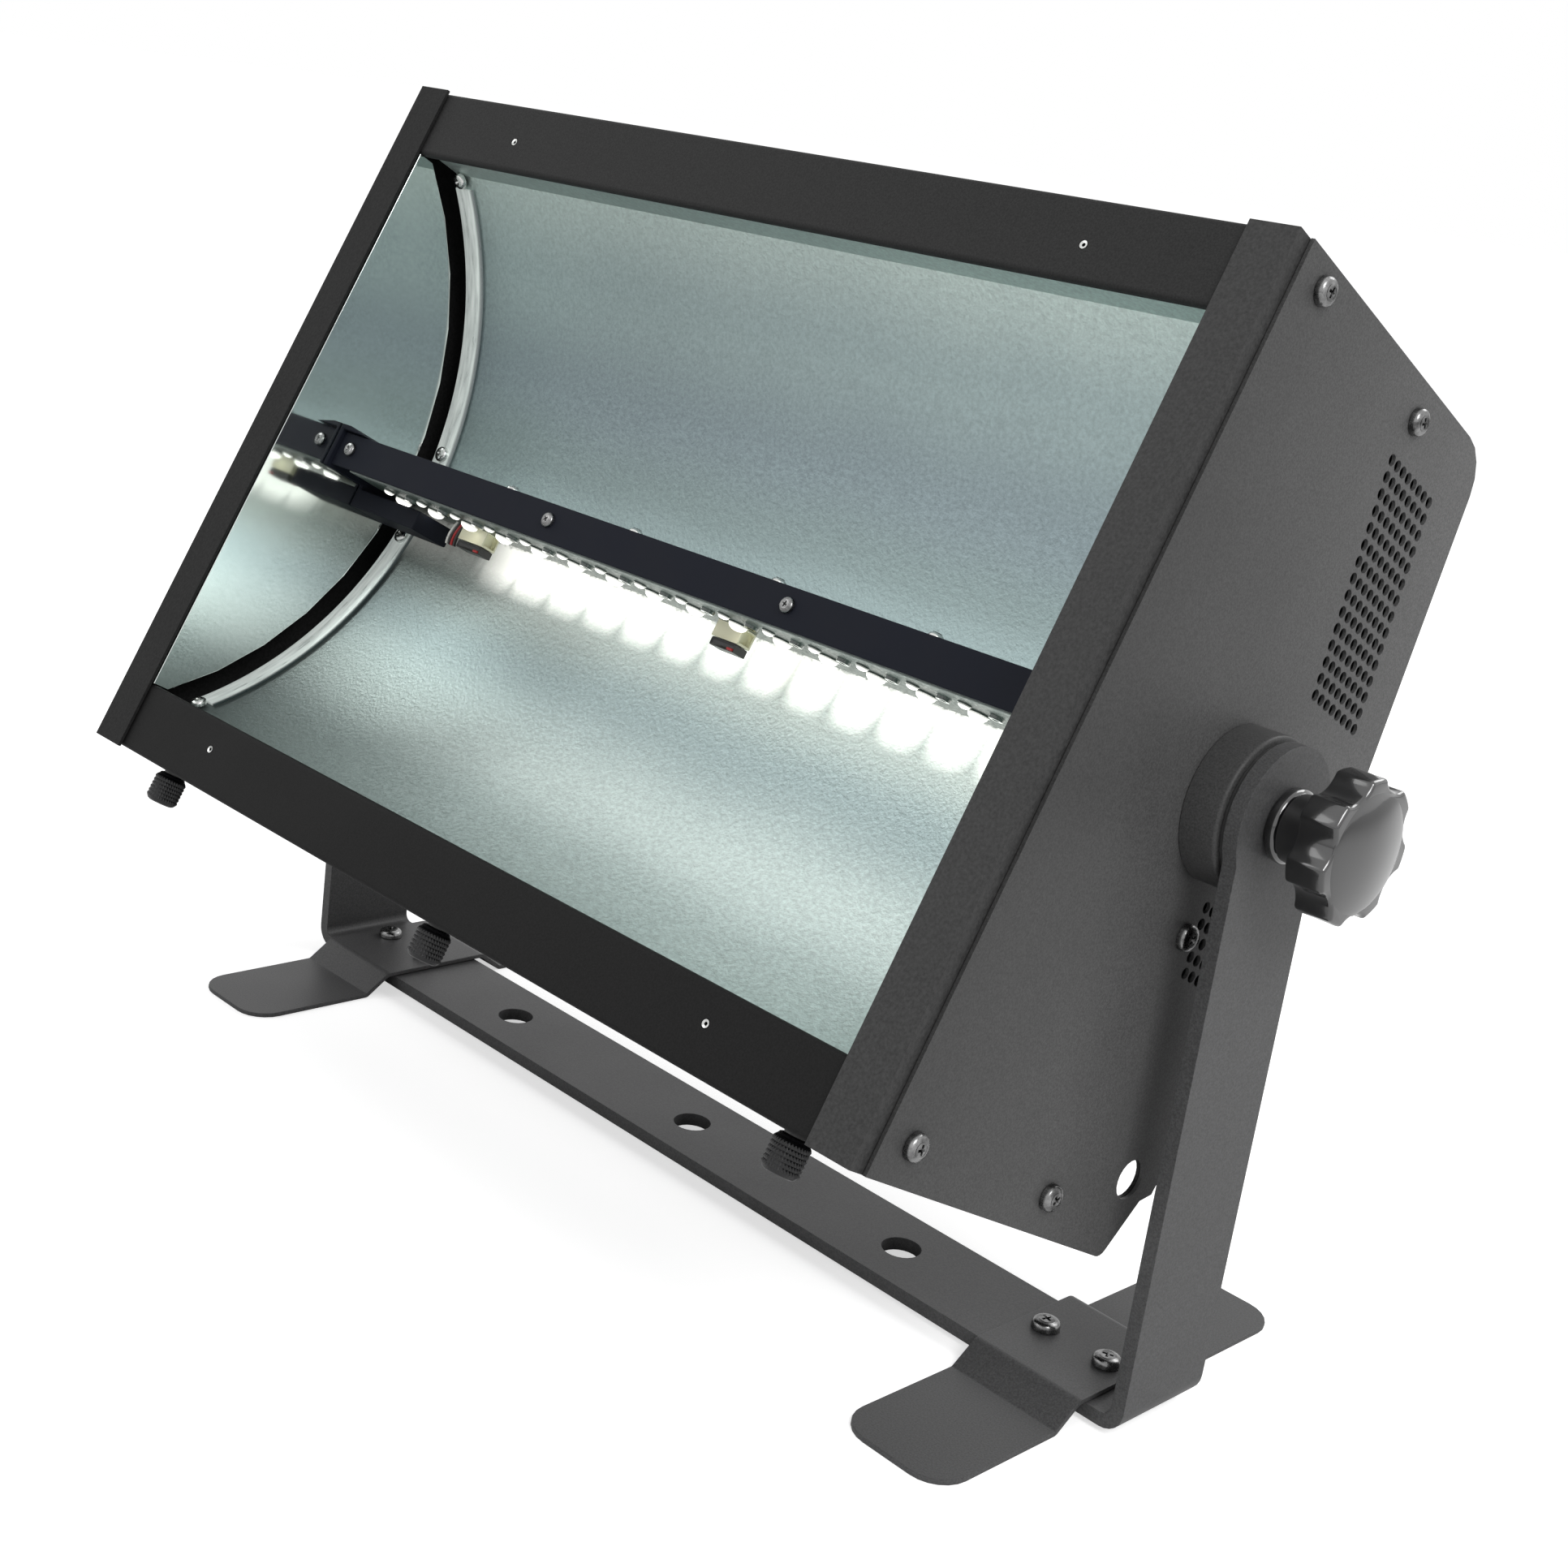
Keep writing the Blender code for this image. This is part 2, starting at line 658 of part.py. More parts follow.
def sink_outline(front, low):
    """Profile of the heat sink: a bar with cooling grooves on both sides of a raised screw rail"""
    top = low + SINK_HEIGHT
    steps = [(place, GROOVE_WIDTH, -GROOVE_DEPTH) for place in (0.9, 0.36, 0.23, 0.1)]
    steps.insert(1, (RAIL_PLACE, RAIL_WIDTH, RAIL_HEIGHT))
    outline = [(front, low), (front + SINK_LENGTH, low), (front + SINK_LENGTH, top)]
    for place, width, rise in steps:
        start = front + SINK_LENGTH * place + width / 2
        outline += [(start, top), (start, top + rise), (start - width, top + rise), (start - width, top)]
    return outline + [(front, top)]


def led_mesh(low, depth):
    """Row of lamp domes that hang from the board"""
    profile = [
        (0, 0.0004),
        (LED_RADIUS * 1.2, 0.0004),
        (LED_RADIUS, -LED_DROP * 0.5),
        (LED_RADIUS * 0.6, -LED_DROP * 0.87),
        (0, -LED_DROP),
    ]
    dome = turned(profile, 8)
    row = []
    for index in range(LED_COUNT):
        lamp = dome.copy()
        across = (index - (LED_COUNT - 1) / 2) * LED_PITCH
        lamp.transform(Matrix.Translation((across, depth, low)))
        row.append(lamp)
    return joined(row)


def screw_mesh(head, shank, length):
    """Pan-head screw along Z, its head standing on the origin"""
    height = head * 0.62
    profile = [
        (0, -length),
        (shank, -length),
        (shank, 0),
        (head, 0),
        (head, height * 0.5),
        (head * 0.72, height * 0.92),
        (0, height),
    ]
    return turned(profile, SCREW_SIDES)


def knob_mesh():
    """Star knob with its hub and stud along Z, the hub standing on the origin"""
    sides = KNOB_LOBES * 6
    reach = BAR_THICK + WASHER_SHEET + BOSS_LENGTH - 0.001
    depth = KNOB_RADIUS * 0.15
    star = HUB_LENGTH + STAR_LENGTH
    rings = [
        (-reach, STUD_RADIUS, 0),
        (0, STUD_RADIUS, 0),
        (0, HUB_RADIUS, 0),
        (HUB_LENGTH, HUB_RADIUS, 0),
        (HUB_LENGTH, KNOB_RADIUS - 0.0015, depth),
        (HUB_LENGTH + 0.0012, KNOB_RADIUS, depth),
        (star - 0.0016, KNOB_RADIUS, depth),
        (star, KNOB_RADIUS - 0.002, depth),
        (star + DOME_HEIGHT * 0.3, KNOB_RADIUS * 0.72, depth / 8),
        (star + DOME_HEIGHT * 0.8, KNOB_RADIUS * 0.42, 0),
        (star + DOME_HEIGHT, KNOB_RADIUS * 0.1, 0),
    ]
    return loft([(height, lobed(radius, deep, KNOB_LOBES, sides)) for height, radius, deep in rings])


def thumb_mesh():
    """Knurled thumb screw along Z, hanging from the origin"""
    knurl = THUMB_RADIUS * 0.08
    top = SHELL_INSET - GAP
    rings = [
        (-THUMB_HEIGHT, THUMB_RADIUS * 0.85, 0),
        (-THUMB_HEIGHT + 0.001, THUMB_RADIUS, knurl),
        (-0.0025, THUMB_RADIUS, knurl),
        (-0.0018, THUMB_RADIUS * 0.85, 0),
        (top, THUMB_RADIUS * 0.6, 0),
        (top, THUMB_SHANK, 0),
        (top + 0.0095, THUMB_SHANK, 0),
    ]
    return loft([(height, lobed(radius, deep, 10, 20)) for height, radius, deep in rings])


def build_head_shell():
    """Sheet pieces of the head with their screws"""
    cover = side_cover_mesh()
    add("side_cover_right", cover, POWDER, HEAD)
    add("side_cover_left", mirrored(cover), POWDER, HEAD)
    frame = side_frame_mesh()
    hollow, holes = side_frame_cutters()
    for name, shape, tools in (("right", frame, (hollow, holes)),
                               ("left", mirrored(frame), (mirrored(hollow), mirrored(holes)))):
        piece = add("side_frame_" + name, shape, POWDER, HEAD)
        apply_shape(piece, cutter("frame_hollow_" + name, tools[0], HEAD))
        apply_shape(piece, cutter("frame_holes_" + name, tools[1], HEAD))

    screw = screw_mesh(SCREW_HEAD, SCREW_SHANK, SCREW_LENGTH)
    for name, side in (("right", 1), ("left", -1)):
        for spot, (depth, height) in side_screw_places().items():
            at = (side * (HALF_WIDTH + GAP), depth - PIVOT_DEPTH, height - MIDDLE)
            add("side_screw_" + name + "_" + spot, screw, STEEL, HEAD, at, (0, side * math.pi / 2, 0))

    top = add("top_cover", top_cover_mesh(), POWDER, HEAD)
    apply_shape(top, cutter("grille_slots", grille_mesh(), UPPER))
    bottom = add("bottom_cover", bottom_cover_mesh(), POWDER, HEAD)
    depth = THUMB_DEPTH - PIVOT_DEPTH
    outlines = [circle(THUMB_SHANK + GAP, (across, depth), 20) for across in thumb_places()]
    holes = prism(outlines, -MIDDLE - 0.005, -MIDDLE + 0.005, "Z")
    apply_shape(bottom, cutter("thumb_holes", holes, HEAD))
    for piece, height in ((top, MIDDLE - STRIP_HEIGHT * 0.58), (bottom, STRIP_HEIGHT * 0.58 - MIDDLE)):
        front = STRIP_DEPTH - PIVOT_DEPTH
        small = [circle(0.0016, (side * HEAD_WIDTH * 0.33, height), 12) for side in (-1, 1)]
        holes = prism(small, front - 0.003, front + 0.003, "Y")
        apply_shape(piece, cutter(piece.name + "_strip_holes", holes, HEAD))


def thumb_places():
    """Sideways places of the thumb screws, left to right"""
    outer = HALF_WIDTH - THUMB_INSET
    return (-outer, 0, outer)


def build_thumb_screws():
    """Three thumb screws for an accessory frame"""
    screw = thumb_mesh()
    for name, across in zip(("left", "middle", "right"), thumb_places()):
        add("thumb_screw_" + name, screw, BLACK_PLASTIC, HEAD, (across, THUMB_DEPTH - PIVOT_DEPTH, -MIDDLE))


def grille_mesh():
    """Slots for the fan and for the air intake, in the frame of the upper rear"""
    outlines = []
    for side in (-1, 1):
        for row in range(6):
            height = fan_height() + (row - 2.5) * 0.008
            centre = side * HEAD_WIDTH * 0.23
            slot = rectangle((centre - 0.022, height - 0.0018), (centre + 0.022, height + 0.0018))
            outlines.append(rounded(slot, (0.0017,) * 4, 2))
    return prism(outlines, -0.004, 0.004, "Y")


def fan_height():
    """Height of the fan's axis up the upper rear"""
    return (SHELL_TOP - REAR_HEIGHT) * 0.42


def build_reflector():
    """Curved sheets, ribs and mirror walls"""
    lower = reflector_mesh()
    add("reflector_lower", lower, SATIN, HEAD)
    add("reflector_upper", flipped(lower), SATIN, HEAD)
    rib = rib_mesh()
    add("rib_lower_right", rib, SATIN, HEAD)
    add("rib_lower_left", mirrored(rib), SATIN, HEAD)
    add("rib_upper_right", flipped(rib), SATIN, HEAD)
    add("rib_upper_left", flipped(mirrored(rib)), SATIN, HEAD)
    wall = wall_mesh()
    add("mirror_wall_right", wall, MIRROR, HEAD)
    add("mirror_wall_left", mirrored(wall), MIRROR, HEAD)


def build_tilt_joint():
    """Bosses, friction washers and knobs on the tilt axis"""
    bore = STUD_RADIUS + GAP
    boss = turned([
        (bore, 0), (BOSS_RADIUS, 0), (BOSS_RADIUS, BOSS_LENGTH - 0.001),
        (BOSS_RADIUS - 0.001, BOSS_LENGTH), (bore, BOSS_LENGTH), (bore, 0)])
    ring = BOSS_RADIUS - 0.002
    washer = turned([(bore, 0), (ring, 0), (ring, WASHER_SHEET), (bore, WASHER_SHEET), (bore, 0)])
    knob = knob_mesh()
    for name, side in (("right", 1), ("left", -1)):
        turn = (0, side * math.pi / 2, 0)
        add("tilt_boss_" + name, boss, POWDER, HEAD, (side * BOSS_START, 0, 0), turn)
        add("friction_washer_" + name, washer, FIBRE, HEAD, (side * WASHER_START, 0, 0), turn)
        hub = add("tilt_knob_" + name, knob, BLACK_PLASTIC, HEAD, (side * KNOB_START, 0, 0), turn)
        hub.data.transform(Matrix.Rotation(KNOB_TURN, 4, "Z"))


def build_rear_fittings():
    """Rear panel with its sockets, display and buttons"""
    width = HEAD_WIDTH
    middle = PANEL_LENGTH / 2
    sockets = {
        "power_inlet": width * 0.40,
        "power_outlet": width * 0.305,
        "data_in": -width * 0.305,
        "data_out": -width * 0.40,
    }
    fuse = (width * 0.225, middle)
    display = (width * 0.07, middle)
    names = ("menu", "up", "down", "enter")
    buttons = [(-width * 0.05 - BUTTON_SPACING * index, middle) for index in range(len(names))]
    outlines = [rectangle((-SHELL_HALF, GAP), (SHELL_HALF, PANEL_LENGTH - GAP))]
    outlines += [circle(SOCKET_RADIUS + GAP, (across, middle), SOCKET_SIDES) for across in sockets.values()]
    outlines.append(circle(FUSE_RADIUS + GAP, fuse, 20))
    outlines.append([(across + display[0], height + display[1]) for across, height in window(GAP)])
    outlines += [circle(BUTTON_RADIUS + GAP, spot, 12) for spot in buttons]
    add("rear_panel", prism(outlines, -SHEET, 0, "Y"), POWDER, REAR)

    outward = (-math.pi / 2, 0, 0)
    for name, across in sockets.items():
        add(name, socket_mesh(name), BLACK_PLASTIC, REAR, (across, 0, middle), outward)
    add("fuse_holder", fuse_mesh(), BLACK_PLASTIC, REAR, (fuse[0], 0, middle), outward)
    add("display", display_mesh(), GLASS, REAR, (display[0], 0, middle), outward)
    button = button_mesh()
    for name, spot in zip(names, buttons):
        add("button_" + name, button, BLACK_PLASTIC, REAR, (spot[0], 0, middle), outward)

    front = -DISPLAY_DEPTH - GAP
    back = front - BOARD_SHEET
    board = boxes([((-width * 0.21, back, middle * 0.43), (width * 0.15, front, middle * 1.57))])
    board = add("control_board", board, GREEN_BOARD, REAR)
    tall = DISPLAY_DEPTH
    parts = [
        ((-width * 0.19, back - tall * 0.7, middle * 0.6), (-width * 0.11, back + GAP, middle * 0.92)),
        ((-width * 0.06, back - tall * 0.35, middle * 1.04), (-width * 0.01, back + GAP, middle * 1.45)),
        ((width * 0.04, back - tall * 1.1, middle * 0.55), (width * 0.12, back + GAP, middle * 0.84)),
    ]
    apply_shape(board, cutter("board_parts", boxes(parts), REAR), "UNION")


def socket_mesh(name):
    """Round panel socket on a square flange; the data sockets are narrower inside"""
    inside = SOCKET_RADIUS * (0.83 if name.startswith("power") else 0.74)
    flange = soft_square(SOCKET_RADIUS + SOCKET_MARGIN, SOCKET_RADIUS * 1.2 + SOCKET_MARGIN)
    rim = GAP + SOCKET_FLANGE
    rings = [
        (-SOCKET_DEPTH, circle(SOCKET_RADIUS, sides=SOCKET_SIDES)),
        (GAP, circle(SOCKET_RADIUS, sides=SOCKET_SIDES)),
        (GAP, flange),
        (rim, flange),
        (rim, circle(SOCKET_RADIUS, sides=SOCKET_SIDES)),
        (rim + SOCKET_RISE, circle(SOCKET_RADIUS, sides=SOCKET_SIDES)),
        (rim + SOCKET_RISE, circle(inside, sides=SOCKET_SIDES)),
        (-SOCKET_DEPTH * 0.45, circle(inside, sides=SOCKET_SIDES)),
    ]
    return loft(rings)


def fuse_mesh():
    """Round fuse holder with a screw cap"""
    profile = [
        (0, -0.024),
        (FUSE_RADIUS * 0.8, -0.024),
        (FUSE_RADIUS, -0.010),
        (FUSE_RADIUS, GAP),
        (FUSE_RADIUS + 0.0025, GAP),
        (FUSE_RADIUS + 0.0025, 0.002),
        (FUSE_RADIUS, 0.002),
        (FUSE_RADIUS * 0.95, 0.0085),
        (0, 0.0085),
    ]
    return turned(profile, 20)


def window(margin):
    """Outline of the display window with a margin"""
    across = DISPLAY_WIDTH / 2 + margin
    upward = DISPLAY_HEIGHT / 2 + margin
    return rounded(rectangle((-across, -upward), (across, upward)), (0.002 + margin,) * 4, 2)


def display_mesh():
    """Display module, its window flush with the rear panel"""
    behind = -SHEET - GAP
    rings = [
        (-DISPLAY_DEPTH, window(0.003)),
        (behind, window(0.003)),
        (behind, window(0)),
        (-0.0001, window(0)),
    ]
    return loft(rings)


def button_mesh():
    """Push button with a collar that stays behind the rear panel"""
    behind = -SHEET - GAP
    profile = [
        (0, -0.006),
        (BUTTON_RADIUS * 0.6, -0.006),
        (BUTTON_RADIUS * 0.6, behind - 0.001),
        (BUTTON_RADIUS + 0.0011, behind - 0.001),
        (BUTTON_RADIUS + 0.0011, behind),
        (BUTTON_RADIUS, behind),
        (BUTTON_RADIUS, 0.0012),
        (BUTTON_RADIUS * 0.8, 0.0017),
        (0, 0.0017),
    ]
    return turned(profile, 12)


def build_power_supply():
    """Power supply case on the bottom cover, with a step for its terminals"""
    back = BELLY_DEPTH - 0.006 - PIVOT_DEPTH
    front = back - SUPPLY_DEPTH
    left = -SUPPLY_WIDTH / 2
    right = SUPPLY_WIDTH / 2
    step = 0.016
    low = SHELL_INSET + SHEET + GAP - MIDDLE
    high = low + SUPPLY_HEIGHT
    outline = [(left, low), (right, low), (right, high - step), (right - step, high - step),
               (right - step, high), (left, high)]
    add("power_supply", prism([outline], front, back, "Y"), SATIN, HEAD)


def build_fan():
    """Fan behind the upper rear grille"""
    half = FAN_SIZE / 2
    bore = half * 0.94
    front = -SHEET - GAP
    back = front - FAN_LENGTH
    at = (HEAD_WIDTH * 0.23, 0, fan_height())
    corners = rectangle((-half, -half), (half, half))
    holes = [circle(0.0021, (across * half * 0.83, height * half * 0.83), 8)
             for across in (-1, 1) for height in (-1, 1)]
    outlines = [rounded(corners, (0.004,) * 4), circle(bore)] + holes
    frame = add("fan_frame", prism(outlines, back, front, "Y"), BLACK_PLASTIC, UPPER, at)
    spider = prism([circle(bore + 0.0008)] + [spider_window(index, bore) for index in range(3)],
                   back + 0.0004, back + 0.0022, "Y")
    apply_shape(frame, cutter("fan_spider", spider, UPPER, at), "UNION")

    hub = half * 0.42
    rotor_back = back + 0.0027
    rotor = turned([(0, 0), (hub, 0), (hub, FAN_LENGTH - 0.0045), (hub * 0.9, FAN_LENGTH - 0.0035),
                    (0, FAN_LENGTH - 0.0035)], 28)
    rotor = add("fan_rotor", rotor, BLACK_PLASTIC, UPPER, (at[0], rotor_back, at[2]), (-math.pi / 2, 0, 0))
    pitch = Matrix.Translation((0, 0, FAN_LENGTH * 0.38)) @ Matrix.Rotation(math.radians(35), 4, "X")
    turns = [Matrix.Rotation(2 * math.pi * index / FAN_BLADES, 4, "Z") @ pitch for index in range(FAN_BLADES)]
    blades = boxes([((hub * 0.85, -0.0042, -0.0006), (bore * 0.96, 0.0042, 0.0006))], turns)
    tool = cutter("fan_blades", blades, UPPER, rotor.location, rotor.rotation_euler)
    apply_shape(rotor, tool, "UNION")


def spider_window(index, bore):
    """Opening between two struts of the fan's motor mount"""
    inner = bore * 0.44
    outer = bore * 0.97
    width = math.radians(50)
    middle = 2 * math.pi * index / 3
    steps = [middle - width + 2 * width * step / 6 for step in range(7)]
    points = [(outer * math.cos(turn), outer * math.sin(turn)) for turn in steps]
    points += [(inner * math.cos(turn), inner * math.sin(turn)) for turn in steps[::-1]]
    return points


def foot_screw_places():
    """Sideways places of the foot screws by name"""
    places = {}
    for name, side in (("right", 1), ("left", -1)):
        for spot, step in (("outer", 0.5), ("inner", -0.5)):
            places[name + "_" + spot] = side * (FOOT_X + step * FOOT_SCREW_SPACING)
    return places


def build_yoke():
    """Bent flat bar with eyes for the studs and holes for clamp and feet"""
    top = PIVOT_HEIGHT + EYE_RADIUS
    high = top + 0.005
    corners = [(-ARM_OUTER, high), (-ARM_OUTER, BAR_LOW), (ARM_OUTER, BAR_LOW), (ARM_OUTER, high)]
    path = rounded(corners, (0, YOKE_BEND, YOKE_BEND, 0), 6)
    yoke = add("yoke", prism([band(path, BAR_THICK)], -EYE_RADIUS, EYE_RADIUS, "Y"), BASE_POWDER)

    half = BAR_WIDTH / 2
    far = EYE_RADIUS * 2
    neck = math.acos(half / EYE_RADIUS)
    trim = [(-far, -0.01), (-half, -0.01)]
    for step in range(21):
        turn = math.pi + neck - (math.pi + 2 * neck) * step / 20
        trim.append((EYE_RADIUS * math.cos(turn), PIVOT_HEIGHT + EYE_RADIUS * math.sin(turn)))
    trim += [(half, -0.01), (far, -0.01), (far, top + far), (-far, top + far)]
    apply_shape(yoke, cutter("arm_trim", prism([trim], -ARM_OUTER - 0.01, ARM_OUTER + 0.01, "X")))

    bore = circle(STUD_RADIUS + GAP, (0, PIVOT_HEIGHT))
    apply_shape(yoke, cutter("eye_bores", prism([bore], -ARM_OUTER - 0.01, ARM_OUTER + 0.01, "X")))
    outlines = [circle(CLAMP_RADIUS, (across, 0)) for across in (-CLAMP_SPACING, 0, CLAMP_SPACING)]
    outlines += [circle(FOOT_SCREW_SHANK + GAP, (across, 0), SCREW_SIDES)
                 for across in foot_screw_places().values()]
    apply_shape(yoke, cutter("base_holes", prism(outlines, -0.01, BAR_TOP + 0.01, "Z")))


def build_feet():
    """Hat-shaped feet over the ends of the base, with their screws"""
    plate = BAR_WIDTH / 2 + 0.0032
    riser = plate + FOOT_RISER
    tongue = riser + FOOT_TONGUE
    high = BAR_TOP + GAP
    corners = [(-tongue, 0), (-riser, 0), (-plate, high), (plate, high), (riser, 0), (tongue, 0)]
    path = rounded(corners, (0, 0.003, 0.003, 0.003, 0.003, 0))
    half = FOOT_WIDTH / 2
    hat = prism([band(path, FOOT_SHEET)], -half - 0.005, half + 0.005, "X")
    plan = rounded(rectangle((-half, -tongue + 0.0001), (half, tongue - 0.0001)), (FOOT_CORNER,) * 4, 6)
    plan = prism([plan], -0.01, high + 0.01, "Z")
    spots = [(step * FOOT_SCREW_SPACING, 0) for step in (-0.5, 0.5)]
    holes = prism([circle(FOOT_SCREW_SHANK + GAP, spot, SCREW_SIDES) for spot in spots], 0.002, 0.02, "Z")
    for name, side in (("right", 1), ("left", -1)):
        at = (side * FOOT_X, 0, 0)
        foot = add("foot_" + name, hat, BASE_POWDER, None, at)
        apply_shape(foot, cutter("foot_plan_" + name, plan, None, at), "INTERSECT")
        apply_shape(foot, cutter("foot_holes_" + name, holes, None, at))
    under = high + FOOT_SHEET + GAP
    screw = screw_mesh(FOOT_SCREW_HEAD, FOOT_SCREW_SHANK, under - BAR_LOW - GAP)
    for name, across in foot_screw_places().items():
        add("foot_screw_" + name, screw, STEEL, None, (across, 0, under))


for old in list(bpy.data.objects):
    bpy.data.objects.remove(old)

PARTS = collection("cyclorama_light")
CUTTERS = collection("cutters", hidden=True)
HEAD = holder("head_pivot", None, (0, 0, PIVOT_HEIGHT), -TILT_ANGLE)
REAR = holder("rear_frame", HEAD, (0, PANEL_DEPTH - PIVOT_DEPTH, PANEL_HEIGHT - MIDDLE), -PANEL_LEAN)
UPPER_DEPTH = REAR_DEPTH - SHELL_INSET - PIVOT_DEPTH
UPPER = holder("upper_frame", HEAD, (0, UPPER_DEPTH, REAR_HEIGHT - MIDDLE), UPPER_LEAN)

build_yoke()
build_feet()
build_head_shell()
build_thumb_screws()
build_reflector()
lamp_bar()
build_tilt_joint()
build_rear_fittings()
build_power_supply()
build_fan()
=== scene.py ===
# %% [markdown]
# # A cyclorama light, dressed for its portrait
#
# A cyclorama light throws an even wash over a stage backdrop. This one is a folded steel head with
# a row of lamps across a curved reflector, tilting in a flat-bar yoke on two feet. The exact solids
# come from the CAD model, which is loaded first and never moved. Everything after that is finish:
# softer edges, round vents, real screws, lit lamps and paint with a grain.

# %% load the frame
from math import acos, asin, cos, pi, radians, sin, tau

import bpy
from bpy import ops
from mathutils import Matrix, Vector


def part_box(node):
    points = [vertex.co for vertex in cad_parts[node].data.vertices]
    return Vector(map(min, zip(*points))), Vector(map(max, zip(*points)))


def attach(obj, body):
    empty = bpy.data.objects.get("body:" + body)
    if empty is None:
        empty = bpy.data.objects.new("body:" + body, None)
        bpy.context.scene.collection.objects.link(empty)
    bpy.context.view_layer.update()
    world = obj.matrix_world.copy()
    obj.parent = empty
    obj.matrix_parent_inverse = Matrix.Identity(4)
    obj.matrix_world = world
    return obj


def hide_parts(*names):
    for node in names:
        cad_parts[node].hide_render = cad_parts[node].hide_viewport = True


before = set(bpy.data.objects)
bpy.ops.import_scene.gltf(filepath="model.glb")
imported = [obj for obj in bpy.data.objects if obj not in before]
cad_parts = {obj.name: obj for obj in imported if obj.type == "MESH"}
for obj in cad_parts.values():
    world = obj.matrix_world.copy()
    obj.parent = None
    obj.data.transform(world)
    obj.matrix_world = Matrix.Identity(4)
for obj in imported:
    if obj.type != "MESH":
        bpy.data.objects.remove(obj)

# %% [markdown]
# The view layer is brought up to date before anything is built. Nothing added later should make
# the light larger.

scene = bpy.context.scene
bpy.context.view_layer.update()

# %% [markdown]
# ## Where things are
#
# The head leans back 26.5 degrees about the tilt axis. It is far easier to model a leaning thing
# upright, so head pieces are made in head coordinates: X to the right, Y for depth back from the
# front face, Z for height above the lower edge. One matrix then leans a finished piece into place.

# %% frames for the leaning pieces
shift, turned = Matrix.Translation, Matrix.Rotation
TILT = radians(26.5)
PIVOT = Vector((0, 0, 0.198036))
DEPTH, MIDDLE = 0.090, 0.1375
HEAD = shift(PIVOT) @ turned(-TILT, 4, "X") @ shift((0, -DEPTH, -MIDDLE))
REAR = HEAD @ shift((0, 0.15096, 0.066)) @ turned(radians(-4.804), 4, "X")
print("front lower edge of the head in mm:", [round(1000 * part) for part in HEAD.translation])

# %% [markdown]
# ## The camera
#
# The straight edges of the head and base fix the point of view: the camera stands low at the front
# right corner and is rolled a little. It comes first, because every later choice is judged through it.

# %% set the camera
azimuth, elevation, roll = (radians(angle) for angle in (43.26, 16.84, 8.09))
back = Vector((sin(azimuth) * cos(elevation), -cos(azimuth) * cos(elevation), sin(elevation)))
level = Vector((0, 0, 1)).cross(back).normalized()
upward = back.cross(level)
right = level * cos(roll) + upward * sin(roll)
above = upward * cos(roll) - level * sin(roll)

camera = bpy.data.objects.new("camera", bpy.data.cameras.new("camera"))
scene.collection.objects.link(camera)
camera.data.sensor_width = 36
camera.data.lens = 51.06
camera.data.shift_x, camera.data.shift_y = -0.003, -0.001
camera.data.clip_start = 0.01
camera.matrix_world = shift((0.534, -0.5413, 0.374)) @ Matrix((right, above, back)).transposed().to_4x4()
scene.camera = camera
scene.view_settings.view_transform = "Standard"
print("camera", round(camera.location.length, 3), "m from the middle of the base")

# %% [markdown]
# ## Maths on sockets
#
# Node trees read badly as code unless a socket can be used like a number. This small class wraps an
# output socket, so that `1 - mask * 0.5` adds its Math nodes by itself.

# %% a socket that does arithmetic
class Wire:
    def __init__(self, nodes, socket):
        self.nodes, self.socket = nodes, socket

    def math(self, operation, *values):
        return self.nodes.node("Math", {"operation": operation}, dict(enumerate(values)))

    def __add__(self, other):
        return self.math("ADD", self, other)

    def __sub__(self, other):
        return self.math("SUBTRACT", self, other)

    def __rsub__(self, other):
        return self.math("SUBTRACT", other, self)

    def __mul__(self, other):
        return self.math("MULTIPLY", self, other)

    def __truediv__(self, other):
        return self.math("DIVIDE", self, other)

    def __rtruediv__(self, other):
        return self.math("DIVIDE", other, self)

    def size(self):
        return self.math("ABSOLUTE", self)

    def part(self):
        return self.math("FRACT", self)

    def most(self, other):
        return self.math("MAXIMUM", self, other)

    __radd__ = __add__
    __rmul__ = __mul__


print("sockets do arithmetic")

# %% [markdown]
# ## Building node trees
#
# One method adds any node: its settings are set first, a ramp's stops among them, and then the
# values or links of its sockets.

# %% one way to add a node
class Nodes:
    def __init__(self, tree):
        self.tree = tree

    def feed(self, socket, value):
        if isinstance(value, Wire):
            self.tree.links.new(value.socket, socket)
        elif isinstance(value, tuple) and len(value) == 3 and socket.type == "RGBA":
            socket.default_value = (*value, 1)
        else:
            socket.default_value = value

    def node(self, kind, settings=None, inputs=None, out=0):
        made = self.tree.nodes.new("ShaderNode" + kind)
        for key, value in (settings or {}).items():
            if key == "stops":
                self.set_stops(made.color_ramp, value)
            else:
                setattr(made, key, value)
        for key, value in (inputs or {}).items():
            self.feed(made.inputs[key], value)
        return Wire(self, made.outputs[out])

    def set_stops(self, ramp, stops):
        """Colours at positions from 0 to 1"""
        ramp.interpolation = "EASE"
        while len(ramp.elements) < len(stops):
            ramp.elements.new(0.5)
        for element, (position, colour) in zip(ramp.elements, stops):
            element.position = position
            element.color = (*colour, 1)


print("nodes can be added")

# %% [markdown]
# A finish is a material with short names for the nodes that every finish here needs. Patterns read
# Object coordinates, which are metres on these pieces, so a grain of 0.6 mm is asked for as 0.0006.

